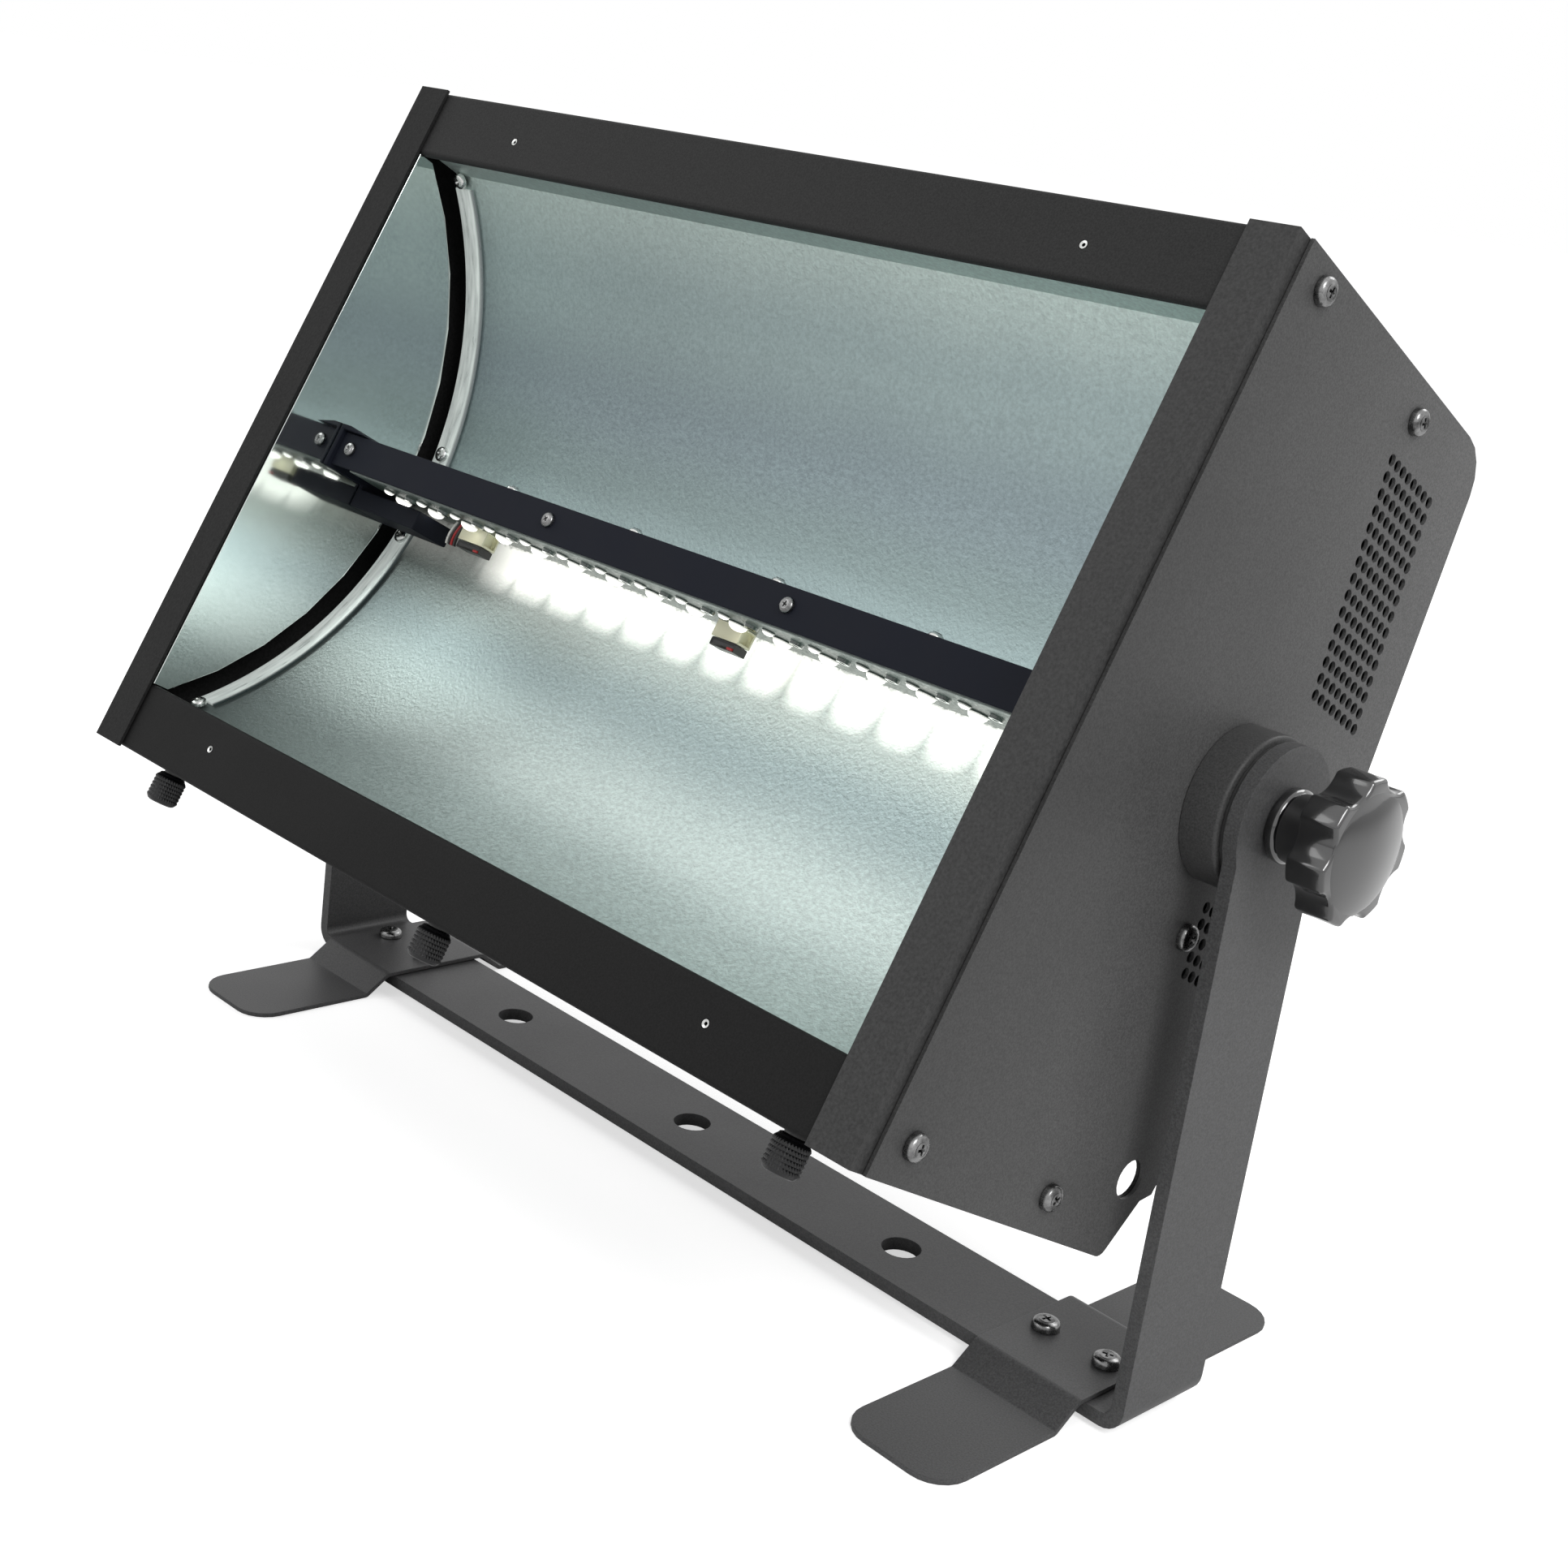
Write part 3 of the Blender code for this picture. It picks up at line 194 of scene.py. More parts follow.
# %% a finish
class Finish(Nodes):
    def __init__(self, name, **steady):
        self.material = bpy.data.materials.new(name)
        self.material.use_nodes = True
        super().__init__(self.material.node_tree)
        self.shader = self.tree.nodes["Principled BSDF"]
        self.set(**steady)

    def place(self, lean=None):
        """Object coordinates, or coordinates in a leaning frame"""
        here = self.node("TexCoord", out="Object")
        if lean is None:
            return here
        undo = lean.inverted()
        inputs = {"Vector": here, "Location": undo.translation, "Rotation": tuple(undo.to_euler())}
        return self.node("Mapping", None, inputs)

    def axes(self, vector):
        split = self.node("SeparateXYZ", None, {"Vector": vector})
        return [Wire(self, output) for output in split.socket.node.outputs]

    def stretch(self, vector, scale):
        return self.node("Mapping", None, {"Vector": vector, "Scale": scale})

    def noise(self, vector, grain, detail=2.0, roughness=0.5):
        inputs = {"Vector": vector, "Scale": 1 / grain, "Detail": detail, "Roughness": roughness}
        return self.node("TexNoise", None, inputs, "Fac")

    def cells(self, vector, grain):
        return self.node("TexVoronoi", None, {"Vector": vector, "Scale": 1 / grain}, "Distance")

    def ramp(self, value, stops):
        return self.node("ValToRGB", {"stops": stops}, {0: value})

    def spread(self, value, low, high, start=0.0, end=1.0):
        """Value from one range carried over to another, and kept inside it"""
        inputs = {"Value": value, "From Min": low, "From Max": high, "To Min": start, "To Max": end}
        return self.node("MapRange", None, inputs)

    def mix(self, factor, first, second, blend="MIX"):
        settings = {"data_type": "RGBA", "blend_type": blend}
        return self.node("Mix", settings, {0: factor, 6: first, 7: second}, 2)

    def bump(self, height, distance, strength=1.0):
        inputs = {"Height": height, "Distance": distance, "Strength": strength}
        return self.node("Bump", None, inputs, "Normal")

    def set(self, **values):
        for socket, value in values.items():
            self.feed(self.shader.inputs[socket.replace("_", " ")], value)
        return self.material


def shade(colour, factor):
    return tuple(min(1.0, part * factor) for part in colour)


print("finishes can be made")

# %% [markdown]
# ## Powder coat
#
# The steel is powder coated: dry paint that is baked until it flows, which leaves a fine
# orange-peel skin. Two noises make it. A fine one lifts the surface by a few hundredths of a
# millimetre and speckles its colour, and a slow one varies the sheen from place to place.

# %% powder coats
def powder(name, colour, roughness, specular, grain=0.0006, lift=0.00003, painted_light=None):
    finish = Finish(name, Specular_IOR_Level=specular)
    here = finish.place()
    specks = finish.noise(here, grain, 2.0, 0.6)
    clouds = finish.noise(here, 0.035)
    tone = finish.spread(specks, 0.3, 0.7, 0.72, 1.28) * finish.spread(clouds, 0.3, 0.7, 0.94, 1.06)
    painted = finish.mix(finish.spread(tone, 0.6, 1.4), shade(colour, 0.6), shade(colour, 1.4))
    # Painted light: where a part has it, the colour is multiplied by a gradient of light and shade over
    # the head
    if painted_light:
        _, depth, height = finish.axes(finish.place(HEAD))
        painted = finish.mix(1.0, painted, painted_light(finish, depth, height), "MULTIPLY")
    sheen = finish.spread(clouds + specks * 0.4, 0.4, 1.0, roughness - 0.05, roughness + 0.06)
    return finish.set(Base_Color=painted, Roughness=sheen, Normal=finish.bump(specks, lift, 0.6))


def painted_side_light(finish, depth, height):
    """Painted light: the sides are painted paler towards the rear and the top, where the light falls
    brighter
    """
    return finish.spread(depth, 0.0, 0.16, 0.62, 1.30) * finish.spread(height, 0.20, 0.27, 1.0, 1.2)


# One coat in several mixes: the top strip is painted lighter and the bottom strip darker, as painted
# light and shade, and the left frame darker than the right one, in painted shade.
shaded_strip_paint = powder("powder_strips", (0.010,) * 3, 0.55, 0.12)
lit_top_paint = powder("powder_top", (0.026,) * 3, 0.55, 0.12)
frame_paint = powder("powder_frames", (0.042,) * 3, 0.5, 0.2, 0.0010, 0.00012)
side_paint = powder("powder_sides", (0.080,) * 3, 0.45, 0.3, painted_light=painted_side_light)
shaded_left_paint = powder("powder_left_frame", (0.019,) * 3, 0.55, 0.1, 0.0010, 0.00012)
boss_paint = powder("powder_boss", (0.052,) * 3, 0.45, 0.25)
base_paint = powder("powder_base", (0.078, 0.078, 0.079), 0.4, 0.3, lift=0.00002)
print("powder coats:", [paint.name for paint in (shaded_strip_paint, lit_top_paint, frame_paint, base_paint)])

# %% [markdown]
# ## Plastics and small metals
#
# Knobs are glossy phenolic, sockets are moulded with a fine spark-eroded skin, screws are blackened
# steel whose high spots are rubbed bright, and the shield of the lamp bar is blue-black sheet.

# %% plain finishes
def moulded(name, colour, roughness, grain=0.0004, lift=0.00001, coat=0.0, specular=0.5):
    finish = Finish(name, Coat_Weight=coat, Coat_Roughness=0.05, Specular_IOR_Level=specular)
    skin = finish.noise(finish.place(), grain, 3.0)
    clouds = finish.noise(finish.place(), 0.02)
    tone = finish.mix(clouds, shade(colour, 0.8), shade(colour, 1.2))
    sheen = finish.spread(clouds, 0.3, 0.7, roughness - 0.03, roughness + 0.04)
    return finish.set(Base_Color=tone, Roughness=sheen, Normal=finish.bump(skin, lift, 0.5))


def metal(name, dark, bright, roughness):
    finish = Finish(name, Metallic=1.0)
    here = finish.place()
    wear = finish.noise(here, 0.004, 4.0, 0.6)
    scratches = finish.noise(finish.stretch(here, (1, 9, 9)), 0.002)
    tone = finish.mix(finish.spread(wear, 0.35, 0.65), dark, bright)
    sheen = finish.spread(scratches, 0.3, 0.7, roughness - 0.06, roughness + 0.1)
    return finish.set(Base_Color=tone, Roughness=sheen, Normal=finish.bump(scratches, 0.00001, 0.4))


knob_black = moulded("knob_gloss", (0.006, 0.006, 0.0065), 0.14, coat=1.0, specular=1.0)
socket_black = moulded("socket_plastic", (0.012, 0.012, 0.013), 0.38, lift=0.00003)
thumb_black = moulded("thumb_black", (0.007, 0.007, 0.008), 0.3)
washer_fibre = moulded("washer_fibre", (0.03, 0.03, 0.03), 0.8, 0.0008, 0.00006)
shield_black = moulded("shield_sheet", (0.0075, 0.0090, 0.0150), 0.6, 0.0005, 0.00001, specular=0.12)
screw_black = metal("screw_steel", (0.10,) * 3, (0.34,) * 3, 0.24)
screw_bright = metal("screw_bright", (0.45, 0.46, 0.45), (0.78, 0.79, 0.77), 0.2)
aluminium = metal("bare_aluminium", (0.50, 0.51, 0.52), (0.68, 0.69, 0.70), 0.36)
cream = moulded("connector_nylon", (0.92, 0.87, 0.62), 0.35)
wire_red = moulded("wire_red", (0.42, 0.012, 0.012), 0.4)
wire_black = moulded("wire_black", (0.01, 0.01, 0.01), 0.4)
wire_white = moulded("wire_white", (0.72, 0.72, 0.68), 0.4)
print("finishes so far:", len(bpy.data.materials))

# %% [markdown]
# ## Reflector sheet
#
# The reflector is satin aluminium with a fine hammered texture that mixes the light. The lamps
# under the bar flood it: white scallops right behind them, a soft band lower down and a calmer,
# greener tone in the upper half. That light is painted: as emission over the metal, by height and by
# the distance to the nearest lamp, and as painted light and shade in the base colour, in bands by
# height, brighter to the right and darker at the lower left, so that it holds in any render. Only the
# front face has the emission, and the left end lies in the lee of the wire cover, in painted shade.

# %% reflector sheet
ARC_RADIUS, ARC_DEPTH = 0.14804, -0.07704
REFLECTOR_GAUGE = 0.0008
LAMP_COUNT, LAMP_PITCH, LAMP_LOW = 16, 0.02090, 0.1305
BLACK = (0.0,) * 3


def from_lamp(finish, across):
    """Signed distance across to the nearest lamp, from how far along its own pitch a place is"""
    half = 20
    return (finish.spread(across / LAMP_PITCH, -half, half, 0, 2 * half).part() - 0.5) * LAMP_PITCH


def reflector_finish():
    finish = Finish("reflector_sheet", Metallic=0.75)
    across, depth, height = finish.axes(finish.place(HEAD))
    place = finish.place()
    hammer = finish.noise(place, 0.0016, 2.0, 0.7)
    clouds = finish.noise(place, 0.06, 1.0)
    level = finish.spread(height + clouds * 0.010, 0.005, 0.280)
    # Base colour by height: the sheet's green-grey with painted light in bands, bright below the bar,
    # darker just above it and brightest at the top.
    metal_and_painted_light = finish.ramp(level, [
        (0.00, (0.28, 0.36, 0.35)),
        (0.13, (0.50, 0.60, 0.58)),
        (0.21, (0.68, 0.79, 0.76)),
        (0.33, (0.43, 0.53, 0.53)),
        (0.42, (0.57, 0.66, 0.62)),
        (0.56, (0.30, 0.38, 0.38)),
        (0.60, (0.26, 0.33, 0.33)),
        (0.70, (0.29, 0.36, 0.38)),
        (0.82, (0.37, 0.46, 0.46)),
        (1.00, (0.80, 0.92, 0.85)),
    ])
    # Painted light: brighter towards the right, over the hammered texture's own tone; painted shade
    # darkens the left end below the bar.
    rise = finish.spread(across, -0.07, 0.15, 0.88, 1.16) * finish.spread(hammer, 0.3, 0.7, 0.86, 1.14)
    corner_shade = finish.spread(across, -0.175, -0.03, 0.72, 0.0)
    dusk = 1 - corner_shade * finish.spread(height, 0.105, 0.137, 1.0, 0.0)
    metal_and_painted_light = finish.mix(1.0, metal_and_painted_light, rise * dusk, "MULTIPLY")
    drop = LAMP_LOW - height + hammer * 0.004
    wide = finish.spread(drop * drop, 0.0, 0.00081, 0.0108, 0.0030)
    wide = wide + finish.spread(across, -0.16, 0.0, 0.004, 0.0)
    under = finish.spread(drop, 0.0, 0.002)
    fall = finish.spread(drop, 0.012, 0.021, 1.1, 0.0)
    spot = finish.spread(from_lamp(finish, across).size() - wide, -0.0040, 0.0020, 1.0, 0.0) * fall
    halo = finish.spread(drop, 0.002, 0.036, 0.70, 0.0)
    ahead, above = depth - ARC_DEPTH, height - MIDDLE
    reach = ahead * ahead + above * above
    middle, rear = ((ARC_RADIUS + share * REFLECTOR_GAUGE) ** 2 for share in (0.5, 1.0))
    front = finish.spread(reach, middle, rear, 1.0, 0.0)
    lee = finish.spread(across, -0.130, -0.104, 0.10, 1.0)
    glow = (spot + halo * halo * 0.9) * under * front * lee
    return finish.set(
        Base_Color=metal_and_painted_light,
        Roughness=finish.spread(hammer, 0.3, 0.7, 0.34, 0.46),
        Emission_Color=finish.mix(glow, BLACK, (1.0, 1.0, 0.93)),
        Emission_Strength=1.0,
        Normal=finish.bump(hammer, 0.00025, 0.6),
    )


reflector_paint = reflector_finish()


def mirror_finish():
    """Polished sheet with a breath of haze on it"""
    finish = Finish("mirror_sheet", Metallic=1.0)
    haze = finish.noise(finish.place(), 0.025, 3.0)
    tone = finish.mix(haze, (0.70, 0.75, 0.73), (0.82, 0.86, 0.84))
    return finish.set(Base_Color=tone, Roughness=finish.spread(haze, 0.3, 0.7, 0.03, 0.09))


mirror_paint = mirror_finish()


def rib_finish():
    """Drawn strip with long streaks, made to glow with painted light, with a painted shadow along its
    inner edge that pales towards the top
    """
    finish = Finish("rib_sheet", Metallic=0.4)
    across, _, height = finish.axes(finish.place(HEAD))
    streak = finish.noise(finish.stretch(finish.place(HEAD), (7, 1, 1)), 0.012, 3.0)
    lit = finish.mix(streak, (0.30, 0.34, 0.33), (0.86, 0.92, 0.88))
    dark = finish.mix(finish.spread(height, 0.10, 0.16), (0.02, 0.03, 0.03), (0.17, 0.19, 0.19))
    tone = finish.mix(finish.spread(across.size(), 0.1708, 0.1722), dark, lit)
    # Painted light: the strip glows with its own colour, though it is no lamp.
    return finish.set(Base_Color=tone, Roughness=finish.spread(streak, 0.3, 0.7, 0.25, 0.45),
                      Emission_Color=tone, Emission_Strength=0.42)


rib_paint = rib_finish()
print("reflector finishes ready")

# %% [markdown]
# ## Boards and glass
#
# The control board inside the rear panel is the usual green one, with paler tracks and a fine
# speckle, the display is a smoked window, and the fan is matt black.

# %% boards and glass
def circuit(name, ground, track):
    finish = Finish(name)
    here = finish.place(HEAD)
    tracks = finish.spread(finish.cells(here, 0.004), 0.30, 0.34)
    fine = finish.noise(here, 0.0009, 3.0)
    tone = finish.mix(tracks * 0.7, ground, track)
    tone = finish.mix(finish.spread(fine, 0.55, 0.62) * 0.35, tone, shade(track, 1.8))
    return finish.set(Base_Color=tone, Roughness=finish.spread(fine, 0.3, 0.7, 0.3, 0.5),
                      Normal=finish.bump(tracks, 0.00004, 0.4))


green_board = circuit("green_board", (0.01, 0.07, 0.03), (0.03, 0.16, 0.06))
display_glass = moulded("display_window", (0.012, 0.016, 0.02), 0.06, coat=1.0)
fan_black = moulded("fan_plastic", (0.012, 0.012, 0.012), 0.45)
print("finishes so far:", len(bpy.data.materials))

# %% [markdown]
# ## The workbench
#
# Every piece starts from a primitive. These helpers keep the bench tidy: nothing else is selected
# when a primitive is added, and faces or edges are then picked by where they are and which way they
# point, as one would click them.

# %% bench helpers
def object_mode():
    if bpy.context.object and bpy.context.object.mode != "OBJECT":
        ops.object.mode_set(mode="OBJECT")


def only(piece):
    """Select one piece alone, in object mode"""
    object_mode()
    ops.object.select_all(action="DESELECT")
    piece.select_set(True)
    bpy.context.view_layer.objects.active = piece
    return piece


def start(primitive, name, **where):
    """Add a primitive as the first shape of a piece"""
    object_mode()
    ops.object.select_all(action="DESELECT")
    primitive(**where)
    piece = bpy.context.object
    piece.name = piece.data.name = name
    ops.object.transform_apply(location=True, rotation=True, scale=True)
    return piece


def brick(name, centre, size):
    return start(ops.mesh.primitive_cube_add, name, size=1, location=centre, scale=size)


def pick(piece, kind, test):
    """Enter edit mode with only the faces or edges selected that pass a test"""
    only(piece)
    ops.object.mode_set(mode="EDIT")
    ops.mesh.select_mode(type=kind)
    ops.mesh.select_all(action="DESELECT")
    object_mode()
    mesh = piece.data
    if kind == "FACE":
        for face in mesh.polygons:
            face.select = bool(test(face.center, face.normal))
    else:
        for edge in mesh.edges:
            first, second = (mesh.vertices[index].co for index in edge.vertices)
            edge.select = bool(test((first + second) / 2, (second - first).normalized()))
    ops.object.mode_set(mode="EDIT")


def drawn(*step):
    """Extrude what is selected by a step"""
    ops.mesh.extrude_region_move(TRANSFORM_OT_translate={"value": step})


def pressed(piece, test, inward, *step):
    """Inset the faces that pass a test and push what lies inside by a step"""
    pick(piece, "FACE", test)
    ops.mesh.inset(thickness=inward)
    ops.transform.translate(value=step)


def everything(piece):
    """Enter edit mode with the whole mesh selected"""
    only(piece)
    ops.object.mode_set(mode="EDIT")
    ops.mesh.select_all(action="SELECT")


print("pieces can be picked at")

# %% [markdown]
# A piece is then shaped by modifiers that are applied at once, and copied, mirrored or joined. A
# finished one is leaned into place, painted, and rides on the body of the model it belongs to.

# %% shaping and finishing
def discard(*pieces):
    for piece in pieces:
        bpy.data.objects.remove(piece)


def shaped(piece, kind, **settings):
    """Add a modifier and apply it at once"""
    only(piece)
    modifier = piece.modifiers.new(kind.lower(), kind)
    for key, value in settings.items():
        setattr(modifier, key, value)
    ops.object.modifier_apply(modifier=modifier.name)
    return piece


def smooth(piece, angle=30):
    only(piece)
    ops.object.shade_smooth_by_angle(angle=radians(angle))
    return piece


def copied(piece, name, *moves):
    """Copy with its own mesh, moved by one or more matrices"""
    twin = bpy.data.objects.new(name, piece.data.copy())
    twin.data.name = name
    scene.collection.objects.link(twin)
    for move in moves:
        twin.data.transform(move)
    return twin


def joined(name, pieces):
    """One piece made of several"""
    only(pieces[0])
    for piece in pieces:
        piece.select_set(True)
    ops.object.join()
    pieces[0].name = pieces[0].data.name = name
    return pieces[0]


def flipped(piece, name, *turns):
    """Mirrored copy, its faces turned the right way out again"""
    twin = copied(piece, name, *turns)
    everything(twin)
    ops.mesh.normals_make_consistent(inside=False)
    object_mode()
    return twin


def finished(piece, material, body, nodes=(), lean=None):
    """Lean a piece into place, give it its finish and let it ride on its body"""
    if lean is not None:
        piece.data.transform(lean)
    piece.data.materials.clear()
    piece.data.materials.append(material)
    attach(piece, body)
    if nodes:
        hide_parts(*nodes)
    return piece


print("pieces can be shaped and finished")

# %% [markdown]
# Round things start as a single vert, extruded into a profile and spun about an axis.

# %% the lathe
def dot(name, at):
    """A mesh of one vert in edit mode, the start of a line"""
    piece = start(ops.mesh.primitive_plane_add, name, size=0.001)
    ops.object.mode_set(mode="EDIT")
    ops.mesh.select_mode(type="VERT")
    ops.mesh.select_all(action="SELECT")
    ops.mesh.merge(type="CENTER")
    ops.transform.translate(value=at)
    return piece


def lathe(name, profile, steps):
    """Turn a profile of radius and height about the Z axis"""
    piece = dot(name, (profile[0][0], 0, profile[0][1]))
    for before, after in zip(profile, profile[1:]):
        drawn(after[0] - before[0], 0, after[1] - before[1])
    ops.mesh.select_all(action="SELECT")
    ops.mesh.spin(steps=steps, angle=2 * pi, center=(0, 0, 0), axis=(0, 0, 1))
    ops.mesh.select_all(action="SELECT")
    ops.mesh.remove_doubles(threshold=0.00001)
    ops.mesh.normals_make_consistent(inside=False)
    object_mode()
    return piece


print("the lathe is ready")

# %% [markdown]
# ## Sheet metal with soft edges
#
# The CAD sheets have knife edges. Real folded and painted sheet has a tiny radius that catches the
# light, and that thin bright line is what makes it read as metal. A copy of each sheet is welded,
# its flat faces are merged, and a narrow bevel goes on its sharp edges.

# %% weld and soften
def welded(node, name):
    piece = copied(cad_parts[node], name)
    everything(piece)
    ops.mesh.remove_doubles(threshold=0.00001)
    ops.mesh.dissolve_limited(angle_limit=radians(0.3))
    object_mode()
    return piece


def softened(piece, width=0.0003, segments=2):
    shaped(piece, "BEVEL", width=width, segments=segments, limit_method="ANGLE",
           angle_limit=radians(32), loop_slide=False)
    return shaped(smooth(piece), "WEIGHTED_NORMAL", keep_sharp=True, weight=100)


for width, paint, body, slot, *nodes in (
    (0.0005, base_paint, "yoke", "base_coat", "yoke"),
    (0.0004, base_paint, "yoke", "base_coat", "foot_left", "foot_right"),
    (0.0003, shaded_left_paint, "head", "powder_coat", "side_frame_left"),
    (0.0003, frame_paint, "head", "powder_coat", "side_frame_right"),
    (0.0003, lit_top_paint, "head", "powder_coat", "top_cover"),
    (0.0003, shaded_strip_paint, "head", "powder_coat", "bottom_cover"),
    (0.0003, side_paint, "head", "powder_coat", "rear_panel"),
    (0.0002, mirror_paint, "head", "mirror_sheet", "mirror_wall_left", "mirror_wall_right"),
    (0.0003, shield_black, "head", "black_sheet", "bar_shield"),
    (0.0003, aluminium, "head", "bare_aluminium", "heat_sink"),
    (0.0005, shield_black, "head", "black_sheet", "bar_bracket_left", "bar_bracket_right"),
):
    for node in nodes:
        sheet = softened(welded(node, node + "_sheet"), width)
        finished(sheet, paint, body, (node,))
        print(node, len(sheet.data.polygons), "faces")

# %% [markdown]
# ## Side covers with round vents
#
# The solids keep the vents simple, four-sided and few-faced. Here each vent is drilled round: one
# long drill per hole goes through both covers at once, in the same slanting field.

# %% drill the vents
VENT_RADIUS = 0.00185
VENT_PITCH_ACROSS, VENT_PITCH_DOWN, VENT_SLANT = 0.0043, 0.005, 0.257


def vent_field(depth, height, columns, rows):
    """Depth and height of each hole, from the upper front one"""
    for column in range(columns):
        for row in range(rows):
            down = VENT_PITCH_DOWN * row
            yield depth + column * VENT_PITCH_ACROSS + down * VENT_SLANT, height - down


drill = start(ops.mesh.primitive_cylinder_add, "drill", vertices=20, radius=VENT_RADIUS, depth=0.41,
              rotation=(0, pi / 2, 0))
holes = [*vent_field(0.0903, 0.2497, 8, 15), *vent_field(0.104, 0.108, 4, 5)]
drills = joined("drills", [copied(drill, "drill_copy", shift((0, *hole))) for hole in holes])
drills.data.transform(HEAD)
discard(drill)
for side in ("left", "right"):
    cover = welded("side_cover_" + side, "side_cover_" + side + "_sheet")
    shaped(cover, "BOOLEAN", operation="DIFFERENCE", solver="EXACT", object=drills)
    softened(cover)
    finished(cover, side_paint, "head", ("side_cover_" + side,))
    print(cover.name, len(cover.data.polygons), "faces")
discard(drills)

# %% [markdown]
# ## Screws
#
# Pan-head screws hold the covers and feet. One head is modelled at a size of one: a cylinder whose
# top edge is rounded, with a cross recess cut by two tapered blades. Every other screw is a copy,
# scaled and turned a little differently, as no fitter leaves all crosses alike.

# %% one screw head
SCREW_RISE = 0.62
SIDE_SCREW, FOOT_SCREW, RIB_SCREW = 0.0043, 0.0048, 0.0031
SIDE_FACE = 0.2003


def pan_head():
    """Screw head of radius one, standing on the origin"""
    head = start(ops.mesh.primitive_cylinder_add, "pan_head", vertices=32, radius=1,
                 depth=SCREW_RISE, location=(0, 0, SCREW_RISE / 2))
    pick(head, "EDGE", lambda at, way: at.z > 0.6 and abs(way.z) < 0.1)
    ops.mesh.bevel(offset=0.42, segments=5, profile=0.55)
    pressed(head, lambda at, way: at.z > 0.61 and way.z > 0.9, 0.28, 0, 0, 0.05)
    blade = brick("blade", (0, 0, SCREW_RISE), (1.05, 0.24, SCREW_RISE))
    pick(blade, "FACE", lambda at, way: way.z < -0.9)
    ops.transform.resize(value=(0.35, 0.6, 1))
    for turn in (0, 90):
        blade.data.transform(turned(radians(turn), 4, "Z"))
        shaped(head, "BOOLEAN", operation="DIFFERENCE", solver="EXACT", object=blade)
    discard(blade)
    return smooth(head, 35)


def screws(spots, material, body="head"):
    """Screws by name: radius, place, outward turn and, where there is one, the CAD node"""
    for index, (name, radius, move, nodes) in enumerate(spots):
        spin = turned(radians(37 * index % 90), 4, "Z")
        screw = copied(screw_head, name, Matrix.Scale(radius, 4) @ spin, move)
        finished(screw, material, body, nodes)
    print(len(spots), "screws on", body)


screw_head = pan_head()
spots = []
for side, sign in (("right", 1), ("left", -1)):
    for spot, depth, height in (("top_front", 0.0196, 0.2668), ("top_rear", 0.093, 0.2638),
                                ("middle", 0.0995, 0.0973), ("bottom_front", 0.0196, 0.012),
                                ("bottom_rear", 0.093, 0.012)):
        move = HEAD @ shift((sign * SIDE_FACE, depth, height)) @ turned(sign * pi / 2, 4, "Y")
        name = side + "_" + spot
        spots.append(("screw_" + name, SIDE_SCREW, move, ("side_screw_" + name,)))
screws(spots, screw_black)

spots = []
for node in ("left_inner", "left_outer", "right_inner", "right_outer"):
    low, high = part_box("foot_screw_" + node)
    move = shift(((low.x + high.x) / 2, 0, high.z - FOOT_SCREW * SCREW_RISE))
    spots.append(("foot_pan_" + node, FOOT_SCREW, move, ("foot_screw_" + node,)))
screws(spots, screw_black, "yoke")

# %% [markdown]
# ## The reflector
#
# Each half is one sheet rolled to an arc, with a flat flange under the lip of the front strip. It
# could be cut from a cylinder, but a swept line is closer to the rolled sheet: one vert is extruded
# for the flange and spun for the arc, the line is drawn out sideways, and Solidify gives the gauge.

# %% rolled sheets
UPSIDE_DOWN = shift((0, 0, 2 * MIDDLE)) @ Matrix.Scale(-1, 4, (0, 0, 1))
LEFT_TO_RIGHT = Matrix.Scale(-1, 4, (1, 0, 0))


def arc_turn(height, change=0.0):
    """Angle on the reflector's arc at a height, for a radius that differs by a change"""
    return asin((height - MIDDLE) / (ARC_RADIUS + change))


def rolled(name, left, right, low, high, change=0.0, flange=None):
    """Strip rolled to the reflector's arc between two heights, its face to the front"""
    first = ARC_DEPTH + (ARC_RADIUS + change) * cos(arc_turn(low, change))
    sheet = dot(name, (left, flange or first, low))
    if flange:
        drawn(0, first - flange, 0)
    climb = arc_turn(high, change) - arc_turn(low, change)
    ops.mesh.spin(steps=48, angle=-climb, center=(0, ARC_DEPTH, MIDDLE), axis=(1, 0, 0))
    ops.mesh.select_all(action="SELECT")
    ops.mesh.remove_doubles(threshold=0.00001)
    drawn(right - left, 0, 0)
    object_mode()
    if sum(face.normal.y for face in sheet.data.polygons) > 0:
        everything(sheet)
        ops.mesh.flip_normals()
        object_mode()
    return sheet


lower = rolled("reflector_lower_sheet", -0.179, 0.179, 0.0245, MIDDLE - 0.00015, flange=0.0043)
shaped(lower, "SOLIDIFY", thickness=REFLECTOR_GAUGE, offset=-1, use_even_offset=True)
upper = flipped(smooth(lower), "reflector_upper_sheet", UPSIDE_DOWN)
for half, node in ((lower, "reflector_lower"), (upper, "reflector_upper")):
    finished(half, reflector_paint, "head", (node,), HEAD)
    print(half.name, len(half.data.polygons), "faces")

# %% [markdown]
# ## Ribs
#
# A narrow strip is screwed over the end of each sheet. It is the same roll, a little nearer to the
# axis, thickened towards the front and bevelled. One rib is made, and mirrored to the other three.

